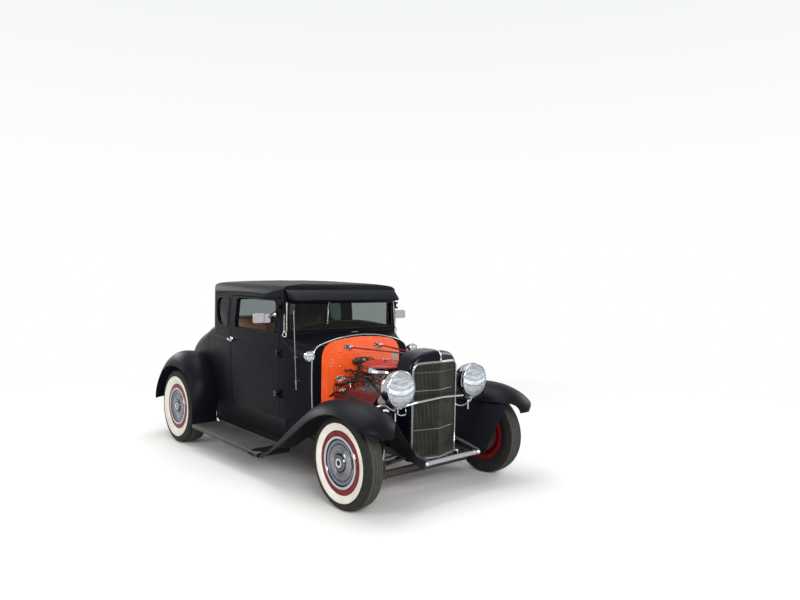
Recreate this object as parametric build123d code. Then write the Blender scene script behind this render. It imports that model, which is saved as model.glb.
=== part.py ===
from build123d import *
import os
from math import cos, radians, sin

# Fendered hot rod coupe with an open V8, no hood, in millimetres.
# The front faces -Y, +X is the car's left and +Z is up. The origin is on the floor, at mid-length.
# The tables below are in chassis places: Y measured back from the front axle, and the whole
# chassis and body tipped nose-down by rake_angle about the point under the front axle.

os.makedirs("parts", exist_ok=True)

# Driving dimensions
front_axle_y = -1382.6
wheelbase = 2629
half_track = 700
rake_angle = 1.8
front_tyre_r = 320
rear_tyre_r = 348
rim_r = 209
bead_r = 192
cap_r = 180
kingpin_x = 600
kingpin_r = 11
pin_clearance = 0.05
pivot_clearance = 0.6
tie_arm = 90
drag_arm = 130
arm_z = 245
rod_z = 220
steer_rod_r = 10
pitman_x = 230
pitman_y = 110
beam_z = 165
sheet = 5
body_wall = 32
door_gap = 6
sill_z = 402
cowl_front_y = 762
screen_y = 1017
door_front_y = 1070
door_rear_y = 1856
deck_front_y = 2345
tail_y = 3140
board_y = (1020, 2222)
board_x = (522, 820)
board_z = (133, 166)
apron_rear_y = 2300
crank_z = 385
engine_front_y = 240
engine_rear_y = 735
hinge_x = 618
hinge_pin_r = 3.5
hinge_r = 8
column_hub = (350, 1400, 935)
column_foot = (350, 752, 592)
wheel_rim_r = 195
tail_pipe_r = 22
tail_pipe_y = 2330
lid_hinge = (2450, 1073)

ground = Pos(0, front_axle_y, 0)
stance = ground * Rot(rake_angle, 0, 0)
level = Rot(-rake_angle, 0, 0)


def on_chassis(y, z):
    """A place of the level world (Y from the front axle, Z from the floor) in chassis places."""
    a = radians(rake_angle)
    return y * cos(a) + z * sin(a), z * cos(a) - y * sin(a)


def on_level(y, z):
    """A chassis place as a place of the level world."""
    a = radians(rake_angle)
    return y * cos(a) - z * sin(a), z * cos(a) + y * sin(a)


rear_hub_y, rear_hub_z = on_chassis(wheelbase, rear_tyre_r)


def block(x, y, z):
    """Box between the two values given for each axis."""
    centre = [(pair[0] + pair[1]) / 2 for pair in (x, y, z)]
    size = [abs(pair[1] - pair[0]) for pair in (x, y, z)]
    return Pos(*centre) * Box(*size)


def rod(start, end, radius):
    """Round bar from one point to the other."""
    run = Vector(*end) - Vector(*start)
    return extrude(Plane(origin=start, z_dir=run) * Circle(radius), run.length)


def along(start, end, distance):
    """The point at a distance from start towards end."""
    run = (Vector(*end) - Vector(*start)).normalized()
    return tuple(Vector(*start) + run * distance)


def both(shape):
    """The piece and its mirror image on the other side of the car."""
    return Compound([shape, mirror(shape, about=Plane.YZ)])


def solids_of(*shapes):
    """Pieces of one node that only touch or stand apart."""
    return Compound([solid for shape in shapes for solid in shape.solids()])


def bent(points, radius, bar_r):
    """Round bar along a path with rounded corners."""
    path = FilletPolyline(*points, radius=radius)
    return sweep(Plane(origin=path @ 0, z_dir=path % 0) * Circle(bar_r), path=path)


def side_prism(outline, x):
    """Extrude an outline of (y, z) points from x[0] to x[1]."""
    face = make_face(Polyline(*[(x[0], y, z) for y, z in outline], close=True))
    return extrude(face, amount=x[1] - x[0], dir=(1, 0, 0))


def save(name, shape, place=stance):
    moved = place * shape
    moved.label = name
    export_step(moved, f"parts/{name}.step")


# Wheels, on their own axle line: x outboard from the wheel's centre plane, y is the radius


def ring_of(points, about=Axis.X):
    return revolve(make_face(Polyline(*points, close=True)), about, 360)


def tyre(radius, half_width, tread_half, bead_half):
    shoulder_r = radius - 9
    swell_r = (rim_r + shoulder_r) / 2
    inner = 12
    outline = [
        Line((bead_half, bead_r), (bead_half, rim_r)),
        ThreePointArc((bead_half, rim_r), (half_width, swell_r), (tread_half, shoulder_r)),
        ThreePointArc((tread_half, shoulder_r), (0, radius), (-tread_half, shoulder_r)),
        ThreePointArc((-tread_half, shoulder_r), (-half_width, swell_r), (-bead_half, rim_r)),
        Line((-bead_half, rim_r), (-bead_half, bead_r)),
        Line((-bead_half, bead_r), (-bead_half + inner, bead_r)),
        Polyline((-bead_half + inner, bead_r), (-half_width + inner, swell_r),
                 (-tread_half + inner, shoulder_r - inner), (tread_half - inner, shoulder_r - inner),
                 (half_width - inner, swell_r), (bead_half - inner, bead_r)),
        Line((bead_half - inner, bead_r), (bead_half, bead_r)),
    ]
    return revolve(make_face(outline), Axis.X, 360)


def steel_wheel(bead_half):
    """Rim, dished disc and brake drum in one turned piece."""
    lip = bead_half + 6
    seat = bead_r
    return ring_of([
        (-lip, rim_r), (-bead_half, rim_r), (-bead_half, seat), (bead_half, seat),
        (bead_half, rim_r), (lip, rim_r), (lip, cap_r + 2), (34, cap_r + 2), (22, 120),
        (30, 60), (30, 24), (-8, 24), (-8, 140), (-48, 140), (-48, 146), (0, 152),
        (10, cap_r), (-lip, cap_r),
    ])


def hub_cap(bead_half):
    """Full cap with a rolled edge, a dished ribbed ring and a raised centre."""
    lip = bead_half + 6
    outline = [
        (lip - 4, cap_r), (lip + 5, 172), (lip + 5, 160), (lip - 3, 148), (lip - 8, 92),
        (lip - 2, 80), (lip + 6, 60), (lip + 12, 32), (lip + 12, 0), (lip + 8, 0),
        (lip + 8, 30), (lip + 2, 58), (lip - 12, 90), (lip - 7, 150), (lip, 164),
        (lip - 8, cap_r),
    ]
    return ring_of(outline)


# Corner, side, y and wheel-centre height of each wheel, with its tyre's sizes
wheel_table = [
    # name, side, axle y, tyre radius, half width, tread half width, bead half width
    ("front_left", 1, 0, front_tyre_r, 73, 55, 56),
    ("front_right", -1, 0, front_tyre_r, 73, 55, 56),
    ("rear_left", 1, wheelbase, rear_tyre_r, 100, 82, 76),
    ("rear_right", -1, wheelbase, rear_tyre_r, 100, 82, 76),
]


def make_wheels():
    for name, side, y, radius, half_width, tread_half, bead_half in wheel_table:
        place = ground * Pos(side * half_track, y, radius)
        if side < 0:
            place = place * Rot(0, 0, 180)
        save(f"tyre_{name}", tyre(radius, half_width, tread_half, bead_half), place)
        save(f"wheel_{name}", steel_wheel(bead_half), place)
        save(f"hubcap_{name}", hub_cap(bead_half), place)


# Front axle and steering, level with the floor


def make_front_axle():
    web = 6
    flange_half = 22
    beam_half = 25
    drop = [(-kingpin_x, 0, front_tyre_r), (-530, 0, front_tyre_r), (-440, 0, beam_z)]
    path = FilletPolyline(*drop, *[(-x, y, z) for x, y, z in reversed(drop)], radius=45)
    half = [(flange_half, beam_half), (flange_half, beam_half - 9), (web, beam_half - 14)]
    corner = half + [(y, -z) for y, z in reversed(half)]
    outline = corner + [(-y, z) for y, z in reversed(corner)]
    section = make_face(Polyline(*[(-kingpin_x, y, front_tyre_r + z) for y, z in outline], close=True))
    beam = sweep(section, path=path)
    for side in (-1, 1):
        beam += Pos(side * kingpin_x, 0, front_tyre_r) * Cylinder(27, 70)
        beam += Pos(side * 400, 0, beam_z + 15) * Cylinder(20, 80)
    for side in (-1, 1):
        beam -= Pos(side * kingpin_x, 0, front_tyre_r) * Cylinder(kingpin_r + pin_clearance, 80)
    save("front_axle", beam, ground)


def knuckle(second_arm):
    """Left steering knuckle: yoke, kingpin, spindle, brake plate and rear steering arm."""
    z = front_tyre_r
    yoke = block((kingpin_x + 30, kingpin_x + 46), (-24, 24), (z - 66, z + 66))
    for low, high in ((36, 66), (-66, -36)):
        yoke += Pos(kingpin_x, 0, z + (low + high) / 2) * Cylinder(24, high - low)
        yoke += block((kingpin_x, kingpin_x + 46), (-20, 20), (z + low, z + high))
    yoke += Pos(kingpin_x, 0, z) * Cylinder(kingpin_r, 140)
    yoke += rod((kingpin_x + 40, 0, z), (half_track + 34, 0, z), 15)
    yoke += rod((kingpin_x + 46, 0, z), (kingpin_x + 50, 0, z), 138)
    arm_end = drag_arm if second_arm else tie_arm
    yoke += block((kingpin_x - 16, kingpin_x + 16), (0, arm_end), (arm_z, arm_z + 12))
    yoke += Pos(kingpin_x, arm_end, arm_z + 6) * Cylinder(16, 12)
    yoke += Pos(kingpin_x, 0, arm_z + 9) * Cylinder(22, 18)
    for reach in (tie_arm, arm_end) if second_arm else (tie_arm,):
        yoke -= Pos(kingpin_x, reach, arm_z) * Cylinder(7 + pivot_clearance, 60)
    return yoke


def make_knuckles():
    save("knuckle_left", knuckle(False), ground)
    save("knuckle_right", mirror(knuckle(True), about=Plane.YZ), ground)


def steering_rod(left, right):
    """Rod with a round end and an upright ball pin at both ends."""
    bar = rod((*left, rod_z), (*right, rod_z), steer_rod_r)
    for x, y in (left, right):
        bar += Pos(x, y, rod_z) * Cylinder(15, 26)
        bar += Pos(x, y, (rod_z + arm_z + 16) / 2) * Cylinder(7, arm_z + 16 - rod_z)
    return bar


def make_steering_links():
    save("tie_rod", steering_rod((kingpin_x, tie_arm), (-kingpin_x, tie_arm)), ground)
    pitman_end = (pitman_x, pitman_y + drag_arm)
    save("drag_link", steering_rod(pitman_end, (-kingpin_x, drag_arm)), ground)
    arm = block((pitman_x - 13, pitman_x + 13), (pitman_y, pitman_y + drag_arm), (arm_z, arm_z + 12))
    arm += Pos(pitman_x, pitman_y, arm_z + 6) * Cylinder(20, 12)
    arm += Pos(*pitman_end, arm_z + 6) * Cylinder(16, 12)
    arm += Pos(pitman_x, pitman_y, arm_z + 25) * Cylinder(12, 50)
    arm -= Pos(*pitman_end, arm_z + 6) * Cylinder(7 + pivot_clearance, 30)
    save("pitman_arm", arm, ground)


# Chassis


def channel(y, x, half, low, high):
    """C-shaped rail section, open to the middle of the car."""
    points = [(x + half, low), (x + half, high), (x - half, high), (x - half, high - sheet),
              (x + half - sheet, high - sheet), (x + half - sheet, low + sheet),
              (x - half, low + sheet), (x - half, low)]
    return make_face(Polyline(*[(px, y, pz) for px, pz in points], close=True))


def make_frame():
    # y, rail centre x, half width, underside z, top z
    stations = [
        (-300, 256, 16, 274, 316), (-100, 262, 20, 290, 350), (70, 274, 24, 290, 364),
        (250, 288, 24, 262, 382), (760, 330, 24, 262, 390), (2240, 430, 24, 262, 390),
        (2450, 440, 24, 420, 492), (2830, 412, 24, 420, 492), (3030, 376, 24, 380, 455),
    ]
    rail = loft([channel(*row) for row in stations], ruled=True)
    frame = both(rail)
    # y from, y to, half length, underside z, top z
    members = [(-42, 42, 286, 300, 345), (1120, 1210, 379, 228, 272), (1990, 2050, 437, 345, 385),
               (2700, 2790, 439, 440, 485), (2960, 3020, 404, 395, 450)]
    for y0, y1, half, low, high in members:
        member = block((-half, half), (y0, y1), (low, high))
        member -= block((-half, half), (y0 + sheet, y1 - sheet), (low - sheet, high - sheet))
        frame = frame + member
    save("frame", frame)
    return frame


def leaf_stack(y, half_span, low, high, count):
    """Arched transverse leaves, each shorter than the one below, with a clamp in the middle."""
    thick = 7
    rise = high - low
    stack = []
    for index in range(count):
        reach = half_span * (1 - index / (count + 1))
        drop = rise * (reach / half_span) ** 2
        top = high + thick * index
        under = [(-reach, top - drop), (0, top), (reach, top - drop)]
        over = [(x, z + thick) for x, z in reversed(under)]
        face = make_face([
            ThreePointArc(*[(x, y - 22, z) for x, z in under]),
            Line((reach, y - 22, under[2][1]), (reach, y - 22, over[0][1])),
            ThreePointArc(*[(x, y - 22, z) for x, z in over]),
            Line((-reach, y - 22, over[2][1]), (-reach, y - 22, under[0][1])),
        ])
        stack.append(extrude(face, amount=44, dir=(0, 1, 0)))
    spring = stack[0]
    for leaf in stack[1:]:
        spring = spring + leaf
    return spring


def make_springs():
    front = leaf_stack(0, 400, 232, 258, 5)
    rear_y = rear_hub_y + 106
    rear = leaf_stack(rear_y, 520, 300, 400, 5)
    save("leaf_springs", solids_of(front, rear))


def make_rear_axle():
    z = rear_tyre_r
    y = wheelbase
    inner = half_track - 100
    axle = rod((-inner, y, z), (inner, y, z), 38)
    centre = revolve(make_face(Polyline((0, 0), (-95, 45), (-70, 120), (0, 140), (70, 120), (95, 45),
                                        close=True)), Axis.X, 360)
    axle += Pos(0, y, z) * centre
    for side in (-1, 1):
        axle += rod((side * (inner - 6), y, z), (side * (inner + 44), y, z), 138)
        axle += rod((side * (inner + 40), y, z), (side * (half_track + 28), y, z), 20)
        axle += block((side * 490, side * 550), (y + 20, y + 118), (z - 30, z - 8))
    joint_y, joint_z = on_level(1245, crank_z - 35)
    axle += rod((0, joint_y, joint_z), (0, y - 60, z), 30)
    for side in (-1, 1):
        axle += rod((side * 500, y - 20, z), (side * 25, joint_y + 150, joint_z - 8), 13)
    save("rear_axle", axle, ground)


def make_radius_rods():
    rods = both(bent([(400, *on_chassis(22.3, 152)), (392, 330, 168), (342, 1096, 246)], 400, 13)
                + block((328, 356), (1084, 1112), (240, 262)))
    save("radius_rods", rods)


def make_shocks():
    # lower end, upper end, on the left side
    table = [((375, 46, 192), (338, 56, 345)), ((498, 2570, 296), (483, 2520, 410))]
    shocks = []
    for low, high in table:
        middle = along(low, high, 70)
        shocks.append(both(rod(low, middle, 9) + rod(middle, high, 16)))
    save("shock_absorbers", solids_of(*shocks))


# Engine and cooling


def bank(shape, side):
    """Place a piece drawn above the crank line on one of the two cylinder banks."""
    return Pos(0, 0, crank_z) * Rot(0, side * 45, 0) * shape


def make_engine():
    y = (engine_front_y, engine_rear_y)
    block_body = block((-110, 110), y, (crank_z - 60, crank_z + 150))
    for side in (-1, 1):
        block_body += bank(block((-80, 80), y, (0, 229)), side)
        block_body += bank(block((side * -78, side * 88), y, (229, 300)), side)
    pan = block((-100, 100), y, (crank_z - 120, crank_z - 60))
    pan += block((-100, 100), (470, engine_rear_y), (crank_z - 190, crank_z - 60))
    bell = loft([Plane.XZ.offset(-engine_rear_y) * Pos(0, crank_z) * Circle(150),
                 Plane.XZ.offset(-950) * Pos(0, crank_z - 15) * Circle(95)], ruled=True)
    tail = rod((0, 950, crank_z - 15), (0, 1240, crank_z - 35), 70)
    save("engine_block", block_body + pan + bell + tail)


def make_valve_covers():
    covers = []
    y = (engine_front_y + 12, engine_rear_y - 12)
    for side in (-1, 1):
        cover = block((-58, 58), y, (300, 372))
        cover = fillet(cover.edges().filter_by(Axis.Y).group_by(Axis.Z)[-1], 24)
        cover += block((-66, 66), (y[0] - 6, y[1] + 6), (300, 306))
        covers.append(bank(cover, side))
    save("valve_covers", solids_of(*covers))


def make_intake():
    trough = [(-97, 600), (97, 600), (150, 653), (150, 661), (-150, 661), (-150, 653)]
    face = make_face(Polyline(*[(x, engine_front_y + 30, z) for x, z in trough], close=True))
    manifold = extrude(face, amount=engine_rear_y - engine_front_y - 60, dir=(0, 1, 0))
    manifold += block((-60, 60), (380, 560), (655, 712))
    carburettor = block((-55, 55), (400, 540), (712, 790))
    carburettor += Pos(0, 470, 799) * Cylinder(64, 24)
    distributor = Pos(0, 690, 710) * Cylinder(30, 110)
    distributor += Pos(0, 690, 780) * Cylinder(44, 50)
    save("intake", manifold + carburettor + distributor)


def make_air_cleaner():
    profile = [(0, 811), (120, 811), (178, 818), (178, 858), (184, 858), (184, 866), (150, 880),
               (60, 888), (14, 888), (14, 898), (0, 898)]
    face = make_face(Polyline(*[(x, 0, z) for x, z in profile], close=True))
    save("air_cleaner", Pos(0, 470, 0) * revolve(face, Axis.Z, 360))


def make_exhaust():
    x, z = 276, 481
    header = rod((x, engine_front_y + 40, z), (x, engine_rear_y - 40, z), 22)
    for y in (300, 420, 560, 680):
        header += rod((250, y, 509), (x, y, z), 19)
    pipe = bent([(x, 650, z), (x, 690, 300), (200, 900, 192), (200, 1500, 192)], 60, 21)
    silencer = rod((200, 1450, 192), (200, 1950, 192), 48)
    tail = rod((200, 1950, 192), (200, tail_pipe_y, 192), tail_pipe_r)
    tail -= rod((200, tail_pipe_y - 80, 192), (200, tail_pipe_y, 192), tail_pipe_r - 2)
    save("exhaust", both(header + pipe + silencer + tail))


def make_front_drive():
    pump = rod((0, 165, 560), (0, engine_front_y, 560), 55) + rod((0, 130, 560), (0, 165, 560), 22)
    pump += rod((0, 138, 560), (0, 162, 560), 78)
    pump += rod((0, 165, crank_z), (0, engine_front_y, crank_z), 84)
    pump += block((-150, 150), (200, engine_front_y), (470, 600))
    alternator = rod((-205, 150, 628), (-205, 236, 628), 58)
    alternator += block((-205, -120), (212, 236), (570, 600))
    fan = rod((0, 105, 560), (0, 131, 560), 48)
    for turn in range(6):
        blade = Pos(0, 118, 560) * Rot(0, turn * 60, 0) * Pos(0, 0, 110) * Rot(0, 0, 25) * Box(60, 4, 150)
        fan += blade
    save("engine_front_drive", pump + alternator + fan)


# Half widths of the grille shell and its opening
shell_half = 232
insert_half = 212
shell_low_z = 252
shell_shoulder_z = 830
shell_peak_z = 1034
shell_back_y = 62
opening_top_z = 952
nose_r = 42
prow_y = -152
prow_edge_y = -92


def shell_outline(inset):
    """Front view of the shell: straight sides and a top of two shoulders and a crown."""
    half = shell_half - inset
    low = shell_low_z + inset
    corner_z = 985 - inset
    crown_z = shell_peak_z - 0.8 * inset
    lines = [
        Line((-half, low), (half, low)),
        Line((half, low), (half, corner_z)),
        ThreePointArc((half, corner_z), (0, crown_z), (-half, corner_z)),
        Line((-half, corner_z), (-half, low)),
    ]
    face = make_face(lines)
    top = face.vertices().sort_by(Axis.Y)[-2:]
    face = fillet(top, 130 - 0.7 * inset)
    return Plane.XZ * face


def wedge(front_y, edge_y, back_y):
    """Upright prism whose front is a shallow V."""
    slope = (edge_y - front_y) / shell_half
    reach = shell_half + 40
    far_y = front_y + slope * reach
    plan = Polyline((0, front_y), (reach, far_y), (reach, back_y), (-reach, back_y), (-reach, far_y),
                    close=True)
    return extrude(make_face(plan), amount=1100)


def opening_outline(inset):
    """Front view of the shell's opening: straight sides, a nearly flat top and two round corners."""
    half = insert_half - inset
    low = shell_low_z + shell_half - insert_half + inset
    corner_z = opening_top_z - 12 - inset
    face = make_face([
        Line((-half, low), (half, low)),
        Line((half, low), (half, corner_z)),
        ThreePointArc((half, corner_z), (0, opening_top_z - inset), (-half, corner_z)),
        Line((-half, corner_z), (-half, low)),
    ])
    face = fillet(face.vertices().sort_by(Axis.Y)[-2:], 52 - inset)
    return Plane.XZ * face


def round_nose(shape, radius):
    """Round the edge between the shell's top and its V-shaped front."""
    nose = [edge for edge in shape.edges()
            if edge.center().Z > 870 and edge.bounding_box().max.Y < shell_back_y - 20
            and abs(edge.center().X) > 1]
    return fillet(nose, radius)


def make_shell():
    depth = shell_back_y - prow_y
    outer = extrude(Pos(0, prow_y, 0) * shell_outline(0), amount=depth, dir=(0, 1, 0))
    outer = round_nose(outer & wedge(prow_y, prow_edge_y, shell_back_y), nose_r)
    hollow = extrude(Pos(0, prow_y, 0) * shell_outline(sheet), amount=depth + 5, dir=(0, 1, 0))
    hollow = hollow & wedge(prow_y + sheet, prow_edge_y + sheet, shell_back_y + 5)
    hollow = round_nose(hollow, nose_r - sheet)
    opening = extrude(Pos(0, prow_y - 5, 0) * opening_outline(0), amount=depth, dir=(0, 1, 0))
    shell = outer - hollow - opening
    shell -= block((-300, 300), (-50, 100), (200, 352))
    save("grille_shell", shell)


def make_grille():
    """Upright bars of a V-shaped insert, tied by three rails and a rim."""
    bar = 3
    pitch = 10.5
    slope = (prow_edge_y - prow_y) / shell_half
    depth = 14
    window = extrude(Pos(0, prow_y, 0) * opening_outline(0.5), amount=120, dir=(0, 1, 0))
    core = extrude(Pos(0, prow_y, 0) * opening_outline(8), amount=120, dir=(0, 1, 0))
    slab = wedge(prow_y + 6, prow_edge_y + 6, 60) - wedge(prow_y + 6 + depth, prow_edge_y + 6 + depth, 60)
    insert = (window - core) & slab
    bars = []
    for index in range(-19, 20):
        x = index * pitch
        y = prow_y + 6 + slope * abs(x)
        bars.append(block((x - bar / 2, x + bar / 2), (y + 0.5, y + depth - 0.5), (255, 1030)))
    comb = Compound(bars) & core
    insert = insert + comb.solids()
    for z in (472, 752, 880):
        insert = insert + ((block((-205, 205), (-160, -60), (z, z + 6)) & slab) & core)
    save("grille_insert", insert)


def make_radiator():
    radiator = block((-205, 205), (-40, 40), (360, 960))
    radiator += block((-150, 150), (-35, 35), (960, 1000))
    save("radiator", radiator)


# Lamps and front bars

lamp_x = 370
lamp_y = -148
lamp_z = 793
lamp_r = 126


def lamp_bowl():
    """Turned bowl, open in front, with a rolled rim."""
    face = make_face([
        Polyline((lamp_r - 8, 0), (lamp_r, 0), (lamp_r, 14), (lamp_r - 5, 22)),
        ThreePointArc((lamp_r - 5, 22), (90, 130), (8, 190)),
        Polyline((8, 190), (0, 190), (0, 186), (8, 186)),
        ThreePointArc((8, 186), (87, 127), (lamp_r - 9, 22)),
        Polyline((lamp_r - 9, 22), (lamp_r - 8, 0)),
    ])
    return revolve(face, Axis.Y, 360)


def make_lamps():
    head = Pos(lamp_x, lamp_y, lamp_z) * lamp_bowl()
    cowl_lamp = Pos(536, 790, 936) * ring_of(
        [(0, -62), (38, -62), (42, -54), (40, -40), (26, 0), (0, 34)], Axis.Y)
    cowl_lamp += rod((536, 800, 930), (470, 800, 905), 9)
    tail = rod((300, 3160, 470), (300, 3196, 470), 48) + rod((300, 3120, 470), (300, 3165, 470), 12)
    save("lamp_shells", solids_of(both(head), both(cowl_lamp - hull(cowl_table)),
                                  both(tail - block((0, 700), (3000, tail_y), (300, 600)))))
    edge = lamp_r - 8.3
    lens = revolve(make_face([
        Polyline((8, -18), (0, -18), (0, 2), (edge, 2), (edge, -3)),
        ThreePointArc((edge, -3), (65, -14), (8, -18))]), Axis.Y, 360)
    save("lamp_lenses", both(Pos(lamp_x, lamp_y, lamp_z) * lens))


def make_front_bars(fenders):
    half = [(0, -172, 703), (225, -162, 690), (345, -100, 655), (430, -60, 643), (505, -30, 620)]
    bar = bent([(-x, y, z) for x, y, z in reversed(half[1:])] + half, 30, 9)
    for side in (-1, 1):
        bar += rod((side * lamp_x, -85, 560), (side * lamp_x, -85, 672), 11)
    bar = (bar - fenders).solids().sort_by(SortBy.VOLUME)[-1]
    save("headlight_bar", bar)
    save("spreader_bars", rod((-240, -286, 292), (240, -286, 292), 18))


def make_support_rods():
    mount = (155, 705, 985)
    rods = both(rod(mount, (14, 30, 985), 6) + rod(mount, (155, 724, 985), 16)
                + rod(mount, (155, cowl_front_y, 985), 9))
    save("support_rods", rods - block((-150, 150), (-35, 35), (960, 1000)))


# Fenders

# crown y, crown z, tilt of the section, inner x, inner drop, crown x, outer x, outer drop
front_fender_table = [
    (-396, 546, -80, 590, 22, 690, 852, 78),
    (-346, 642, -48, 545, 46, 690, 857, 66),
    (-232, 704, -20, 500, 95, 690, 858, 72),
    (0, 735, 0, 452, 135, 690, 858, 80),
    (250, 690, 22, 452, 110, 690, 858, 105),
    (480, 555, 38, 460, 70, 690, 856, 112),
    (730, 370, 38, 500, 40, 690, 846, 90),
    (877, 256, 33, 529, 24, 690, 837, 64),
    (946, 207, 25, 526, 17, 690, 828, 50),
    (1018, 179, 11, 524, 12, 690, 822, 42),
]
rear_fender_table = [
    (2212, 145, -88, 556, 12, 700, 812, 12),
    (2212, 400, -84, 560, 12, 690, 818, 30),
    (2300, 650, -52, 520, 30, 680, 826, 80),
    (2560, 790, -8, 500, 40, 680, 828, 130),
    (2850, 748, 32, 470, 40, 680, 828, 125),
    (3085, 552, 62, 440, 40, 680, 822, 95),
    (3190, 270, 85, 420, 40, 680, 804, 48),
]


def fender_section(y, z, tilt, in_x, in_drop, crown_x, out_x, out_drop):
    """Thin arched section from the inner edge over the crown to the outer lip."""
    def curve(x_in, x_out, top):
        inner = TangentArc((crown_x, top), (x_in, -in_drop), tangent=(-1, 0))
        outer = TangentArc((crown_x, top), (x_out, -out_drop), tangent=(1, 0))
        return inner, outer

    over_in, over_out = curve(in_x, out_x, 0)
    under_in, under_out = curve(in_x + sheet, out_x - sheet, -sheet)
    lines = [over_in, over_out, Line(over_out @ 1, under_out @ 1), under_out, under_in,
             Line(under_in @ 1, over_in @ 1)]
    plane = Plane(origin=(0, y, z), x_dir=(1, 0, 0),
                  z_dir=(0, -cos(radians(tilt)), sin(radians(tilt))))
    return plane * make_face(lines)


def fender(table):
    return loft([fender_section(*row) for row in table])


# Body hull

# y, half width at the sill, half width at the shoulder corner, corner z, crown z, corner radius
cowl_table = [
    (cowl_front_y, 462, 481, 985, 1076, 110),
    (screen_y, 575, 592, 1058, 1085, 50),
    (1068, 582, 600, 1084, 1091, 12),
]
door_table = [
    (1068, 582, 600, 1085, 1092, 8),
    (1486, 606, 632, 1085, 1092, 8),
    (door_rear_y, 602, 634, 1085, 1092, 8),
]
quarter_table = [
    (door_rear_y, 602, 634, 1085, 1092, 8),
    (2100, 584, 620, 1078, 1090, 25),
    (deck_front_y, 556, 594, 1040, 1080, 60),
]
tail_table = [
    (deck_front_y, 556, 594, 1040, 1080, 60),
    (2610, 524, 558, 950, 1030, 110),
    (2875, 478, 503, 850, 945, 120),
    (tail_y, 415, 430, 600, 725, 100),
]


def hull_section(y, sill_x, corner_x, corner_z, crown_z, corner_r, inset=0):
    """Closed section of the body: flat sill, bowed sides, rounded shoulders and a crown."""
    bulge = 10
    low = sill_z - inset
    half_low = sill_x - inset
    half_top = corner_x - inset
    shoulder = corner_z - inset
    mid_x = (half_low + half_top) / 2 + bulge
    mid_z = (low + shoulder) / 2
    face = make_face([
        Line((-half_low, low), (half_low, low)),
        ThreePointArc((half_low, low), (mid_x, mid_z), (half_top, shoulder)),
        ThreePointArc((half_top, shoulder), (0, crown_z - inset), (-half_top, shoulder)),
        ThreePointArc((-half_top, shoulder), (-mid_x, mid_z), (-half_low, low)),
    ])
    face = fillet(face.vertices().sort_by(Axis.Y)[-2:], max(corner_r - inset, 5))
    return Plane.XZ.offset(-y) * face


def hull(table, inset=0):
    return loft([hull_section(*row, inset=inset) for row in table])


# Upper cabin: a plan, a cross section and a side profile, whose prisms meet in its shape


def upper_prism(face, plane, start, length, inset):
    """Extrude one outline, drawn in and set back by inset, along its plane's normal."""
    outline = offset(face, -inset) if inset else face
    return extrude(plane.offset(start) * outline, amount=length, dir=plane.z_dir)


def cabin_upper(inset=0):
    low = 960
    plan = make_face([
        Line((-580, screen_y), (580, screen_y)),
        ThreePointArc((580, screen_y), (636, 1640), (606, deck_front_y)),
        Line((606, deck_front_y), (-606, deck_front_y)),
        ThreePointArc((-606, deck_front_y), (-636, 1640), (-580, screen_y)),
    ])
    plan = fillet(plan.vertices().sort_by(Axis.Y)[-2:], 205)
    plan = fillet(plan.vertices().sort_by(Axis.Y)[:2], 35)
    cross = make_face([
        Line((-656, low), (656, low)), Line((656, low), (607, 1460)),
        ThreePointArc((607, 1460), (0, 1505), (-607, 1460)), Line((-607, 1460), (-656, low)),
    ])
    cross = fillet(cross.vertices().sort_by(Axis.Y)[-2:], 100)
    front_top = (1050, 1483)
    rear_top = (2324, 1465)
    profile = make_face([
        Line((screen_y - 6, low), (deck_front_y + 6, low)),
        Line((deck_front_y + 6, low), rear_top),
        ThreePointArc(rear_top, (1650, 1504), front_top),
        Line(front_top, (screen_y - 6, low)),
    ])
    for corner, radius in ((rear_top, 160), (front_top, 50)):
        profile = fillet(profile.vertices().sort_by_distance((*corner, 0))[0], radius)
    upright = upper_prism(plan, Plane.XY, low, 600, inset)
    lengthwise = upper_prism(cross, Plane.XZ, -2700, 2000, inset)
    crosswise = upper_prism(profile, Plane.YZ, -700, 1400, inset)
    return upright & lengthwise & crosswise


door_window = ((1140, 1752), (1090, 1345))
quarter_window = ((1898, 2128), (1092, 1338))
quarter_corners = (30, 110, 60, 30)
rear_window = ((-330, 330), (1135, 1305))
screen_opening = ((-548, 548), (1096, 1345))
door_low_z = sill_z + 6
door_top_z = 1362
glass_depth = 12
glass_thick = 6


def side_window(y, z, radii, margin=0):
    """Prism of a left side window with its own radius at each corner, front low one first."""
    corners = [(y[0] + margin, z[0] + margin), (y[1] - margin, z[0] + margin),
               (y[1] - margin, z[1] - margin), (y[0] + margin, z[1] - margin)]
    face = make_face(Polyline(*corners, close=True))
    for corner, radius in zip(corners, radii):
        face = fillet(face.vertices().sort_by_distance((*corner, 0))[0], radius)
    return extrude(Plane.YZ.offset(400) * face, amount=300)


def end_window(x, z, y, radius, margin=0):
    """Prism of a window in the front or back of the cabin."""
    width = x[1] - x[0] - 2 * margin
    height = z[1] - z[0] - 2 * margin
    face = Pos(sum(x) / 2, sum(z) / 2) * RectangleRounded(width, height, radius)
    return extrude(Plane.XZ.offset(-y[0]) * face, amount=y[1] - y[0], dir=(0, 1, 0))


def deck_zone(gap):
    """Tilted prism through the deck for the lid."""
    return Pos(0, 2725, 930) * Rot(-30, 0, 0) * Box(760 + 2 * gap, 600 + 2 * gap, 340)


def door_zone(gap):
    """Block that holds the left door, smaller than its opening by the gap."""
    y = (door_front_y + gap / 2, door_rear_y - gap)
    return block((500, 700), y, (door_low_z, door_top_z))


def layer(outer, inner):
    """A skin of the upper cabin between two depths."""
    return cabin_upper(outer) - cabin_upper(inner)


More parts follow.
